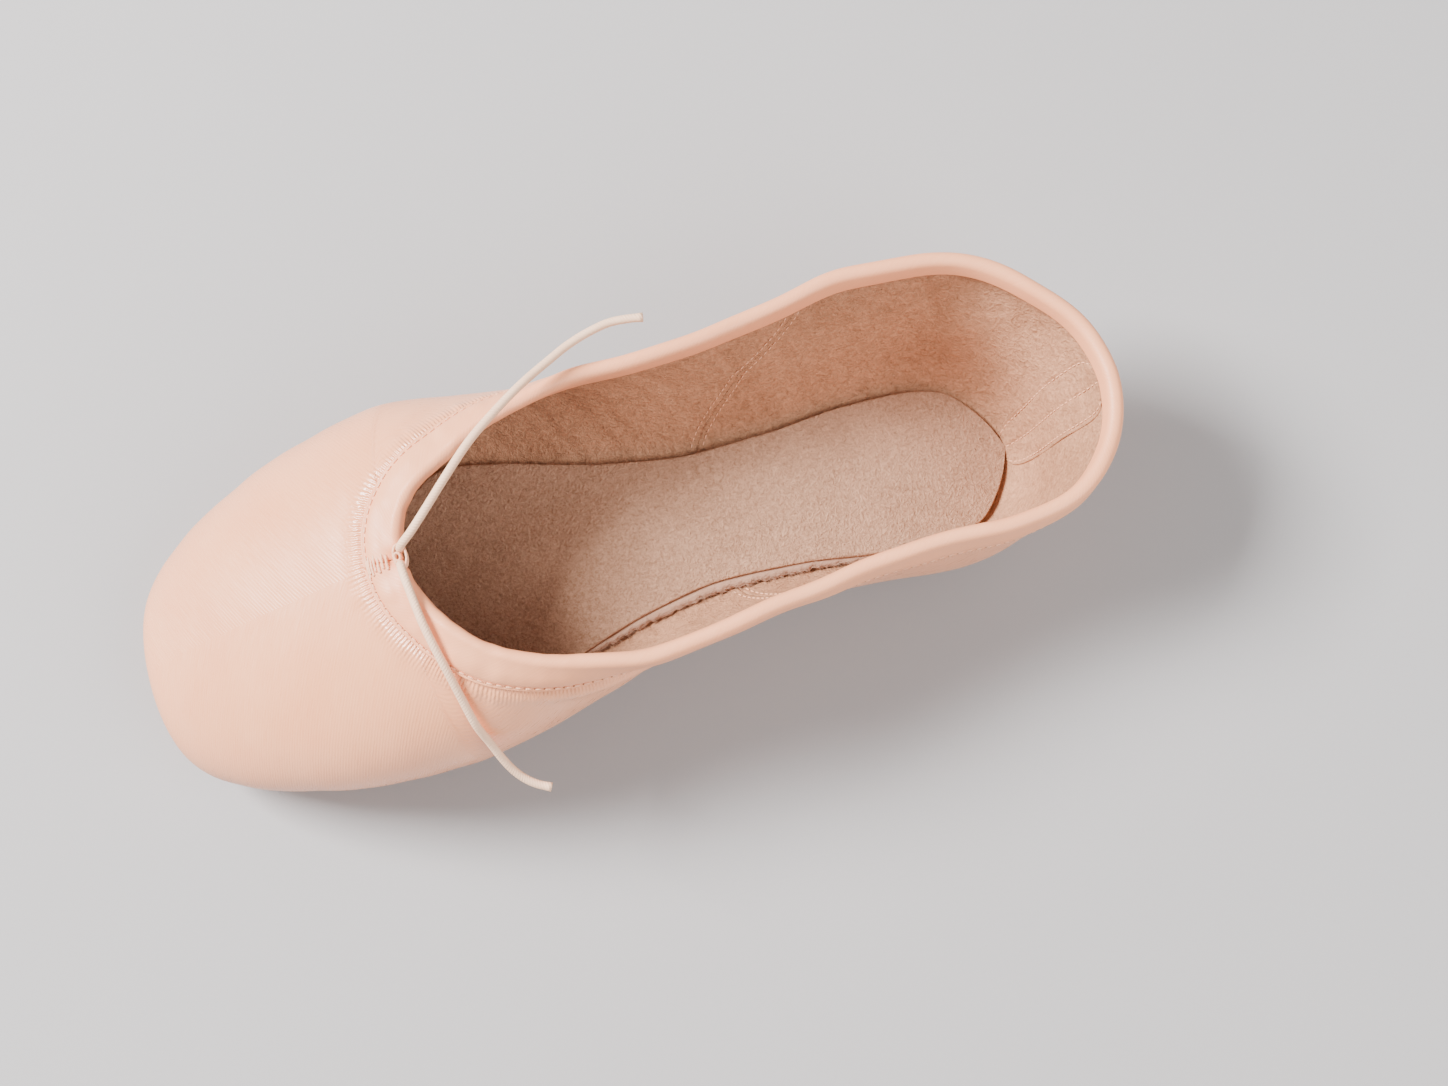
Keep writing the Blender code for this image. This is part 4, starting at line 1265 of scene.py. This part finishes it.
@dataclass
class Sole:
    """The flat pieces under the foot, from the outsole up to the sock."""

    shank: Table = ((76, 0), (78, 12), (82, 18), (88, 20), (100, 18.5), (115, 16), (130, 13.5),
                    (150, 11.8), (170, 12.5), (190, 14.5), (205, 15), (215, 12.5), (220, 7), (222.5, 0))
    sock: Table = ((62, 0), (64, 11), (70, 22), (78, 30), (86, 32.4), (100, 29.4), (115, 24.4),
                   (130, 20.2), (150, 17.2), (170, 18), (190, 20.3), (205, 20.7), (217, 19.0),
                   (225, 13.2), (229.5, 6.5), (231, 0))
    outsole_levels: tuple[float, float] = (-1.9, -0.3)
    filler_levels: tuple[float, float] = (0.0, 1.6)
    shank_levels: tuple[float, float] = (2.1, 3.7)
    half_shank_levels: tuple[float, float] = (4.0, 4.7)
    sock_levels: tuple[float, float] = (5.0, 5.8)
    frayed_levels: tuple[float, float] = (4.55, 4.95)

    def widths(self, outline: Table, span: tuple[float, float], inset: float,
               count: int) -> tuple[Array, Array]:
        """Stations of a plate and its half-width at each, with rounded ends."""
        start, end = span
        middle, half = (start + end) / 2, (end - start) / 2
        turns = np.pi * np.arange(count + 1) / count
        u = middle - half * np.cos(turns)
        room = np.sqrt(np.maximum(0, 1 - ((u - middle) / half) ** 20))
        return u, np.maximum(0, (smooth(outline, u) - inset) * room)

    def plate(self, name: str, outline: Table, span: tuple[float, float], inset: float,
              levels: tuple[float, float], bevel: float = 0.35,
              ripple: Callable[[Array, Array], Array] | None = None, count: int = 150) -> bpy.types.Object:
        """A flat piece on the bent sole line, with softened edges.

        Args:
            name: the piece's name.
            outline: half-widths along the sole.
            span: where it starts and ends.
            inset: how far its edge is inside the outline.
            levels: its underside and its top.
            bevel: how far its edges are rounded.
            ripple: extra height of its top at u and y.
            count: stations along it.

        Returns:
            The new object.
        """
        u, width = self.widths(outline, span, inset, count)
        low, high = levels
        across = np.sin(np.linspace(-1, 1, 27) * math.pi / 2)
        soft = bevel * (1 - np.sqrt(np.maximum(0, 1 - np.clip(
            (np.abs(across)[None, :] * width[:, None] - width[:, None] + bevel) / bevel, 0, 1) ** 2)))
        y = across[None, :] * width[:, None]
        lift = ripple(u[:, None], y) if ripple else 0
        top = row(u[:, None], y, high - soft + lift)
        bottom = row(u[:, None], y, low + soft)
        loop = np.concatenate((top, bottom[:, ::-1], top[:, :1]), axis=1)
        points = FORM.place(loop)
        return add_piece(name, [Patch(points, cloth_of(points))], recalculate=True)

    def add_plates(self) -> None:
        """Every flat piece, finished."""
        outsole = FORM.outsole
        tread = self.plate("outsole_leather", outsole, (26, 226), 0, self.outsole_levels, 0.5)
        bends(dressed(tread, OUTSOLE), "outsole")
        filler = self.plate("felt_filler", outsole, (34, 216), FORM.margin + 0.6, self.filler_levels)
        bends(dressed(filler, FELT), "sole_filler")
        shank = self.plate("board_shank", self.shank, (76, 222.5), 0, self.shank_levels)
        bends(dressed(shank, BOARD), "shank")
        half = self.plate("board_half_shank", self.shank, (118, 219), 1.0, self.half_shank_levels)
        bends(dressed(half, BOARD), "half_shank")

        def lie(u: Array, y: Array) -> Array:
            """The soft unevenness of the glued sock."""
            return 0.1 * waves(u + 0.6 * y, (33, 21, 12))

        sock = self.plate("suede_sock", self.sock, (62, 231), 0, self.sock_levels, 0.3, lie, 200)
        bends(dressed(sock, SOCK), "sock_liner")

    def add_fray(self) -> None:
        """The frayed backing that shows beside the sock on the left, and its fibres."""
        u = np.linspace(96, 196, 260)
        edge = smooth(self.sock, u)
        reach = 2.7 * np.sin(np.pi * (u - 96) / 100) ** 0.6 + 0.35 * waves(u, (2.3, 3.7, 7.1))
        reach = np.maximum(reach, 0.1) * np.sin(np.pi * np.clip((u - 96) / 100, 0.002, 0.998)) ** 0.3
        low, high = self.frayed_levels
        columns = []
        for share, level in ((-1.2, low), (-1.2, high), (0.4, high + 0.1), (1.0, high - 0.25),
                             (1.0, low - 0.15), (-1.2, low)):
            y = -(edge + np.where(share < 0, share, share * reach))
            columns.append(row(u, y, level))
        points = FORM.place(np.stack(columns, axis=1))
        caps = [Patch(np.stack((points[i, :3], points[i, ::-1][:3])), np.zeros((2, 3, 2))) for i in (0, -1)]
        fray = add_piece("frayed_backing", [Patch(points, cloth_of(points)), *caps], recalculate=True)
        fray.data.materials.append(BACKING.material())
        bends_in(fray)
        fringe = FORM.place(row(u, -(edge + reach - 0.1), high - 0.2))
        under = FORM.place(row(u, -(edge + 0.8 * reach), high - 0.05))
        fibres = PathRepeat(Unit.FIBRE, 0.22, (0.11, 0.11, 1.7), 1.3, 7)
        bends_in(fibres.along("backing_fibres", [fringe, under], BACKING))

    def add_outsole_seam(self) -> None:
        """The stitched channel near the outsole's edge."""
        u, width = self.widths(FORM.outsole, (26, 226), 3.0, 240)
        keep = width > 2.5
        u, width = u[keep], width[keep]
        level = self.outsole_levels[0] - 0.02
        left, right = (FORM.place(row(u, sign * width, level)) for sign in (-1, 1))
        ring = evened(np.vstack((left, right[::-1], left[:1])), 900)
        seam = PathRepeat(Unit.STITCH, 3.0, (0.5, 0.5, 2.3))
        bends_in(seam.along("outsole_stitches", [ring], THREAD))


def dress_hidden() -> None:
    """Finishes for the stiff pieces inside, which keep the frame's own shapes."""
    for name, finish in (("box_canvas", CANVAS), ("box_cup", PASTE), ("platform_block", PASTE),
                         ("toe_pad", FELT)):
        data = frame["nodes"][name].data
        data.materials.clear()
        data.materials.append(finish.material())
        log.info("%s: dressed", name)


def main() -> None:
    """Builds the studio and every piece of the slipper."""
    logging.basicConfig(level=logging.INFO, format="%(name)s %(message)s")
    studio = Studio()
    studio.add_camera()
    drawstring = Drawstring()
    for side in Side:
        drawstring.add_end(side)
    mouth = Mouth()
    drawstring.add_loop(mouth)
    upper = Upper()
    upper.add_satin(mouth)
    upper.add_lining()
    upper.add_stay()
    upper.add_seams()
    casing = Casing()
    casing.add_fold(mouth)
    casing.add_seam(mouth)
    casing.add_bartack(mouth)
    sole = Sole()
    sole.add_plates()
    sole.add_fray()
    sole.add_outsole_seam()
    dress_hidden()
    studio.add_floor()
    studio.add_lights()


if __name__ == "__main__":
    main()
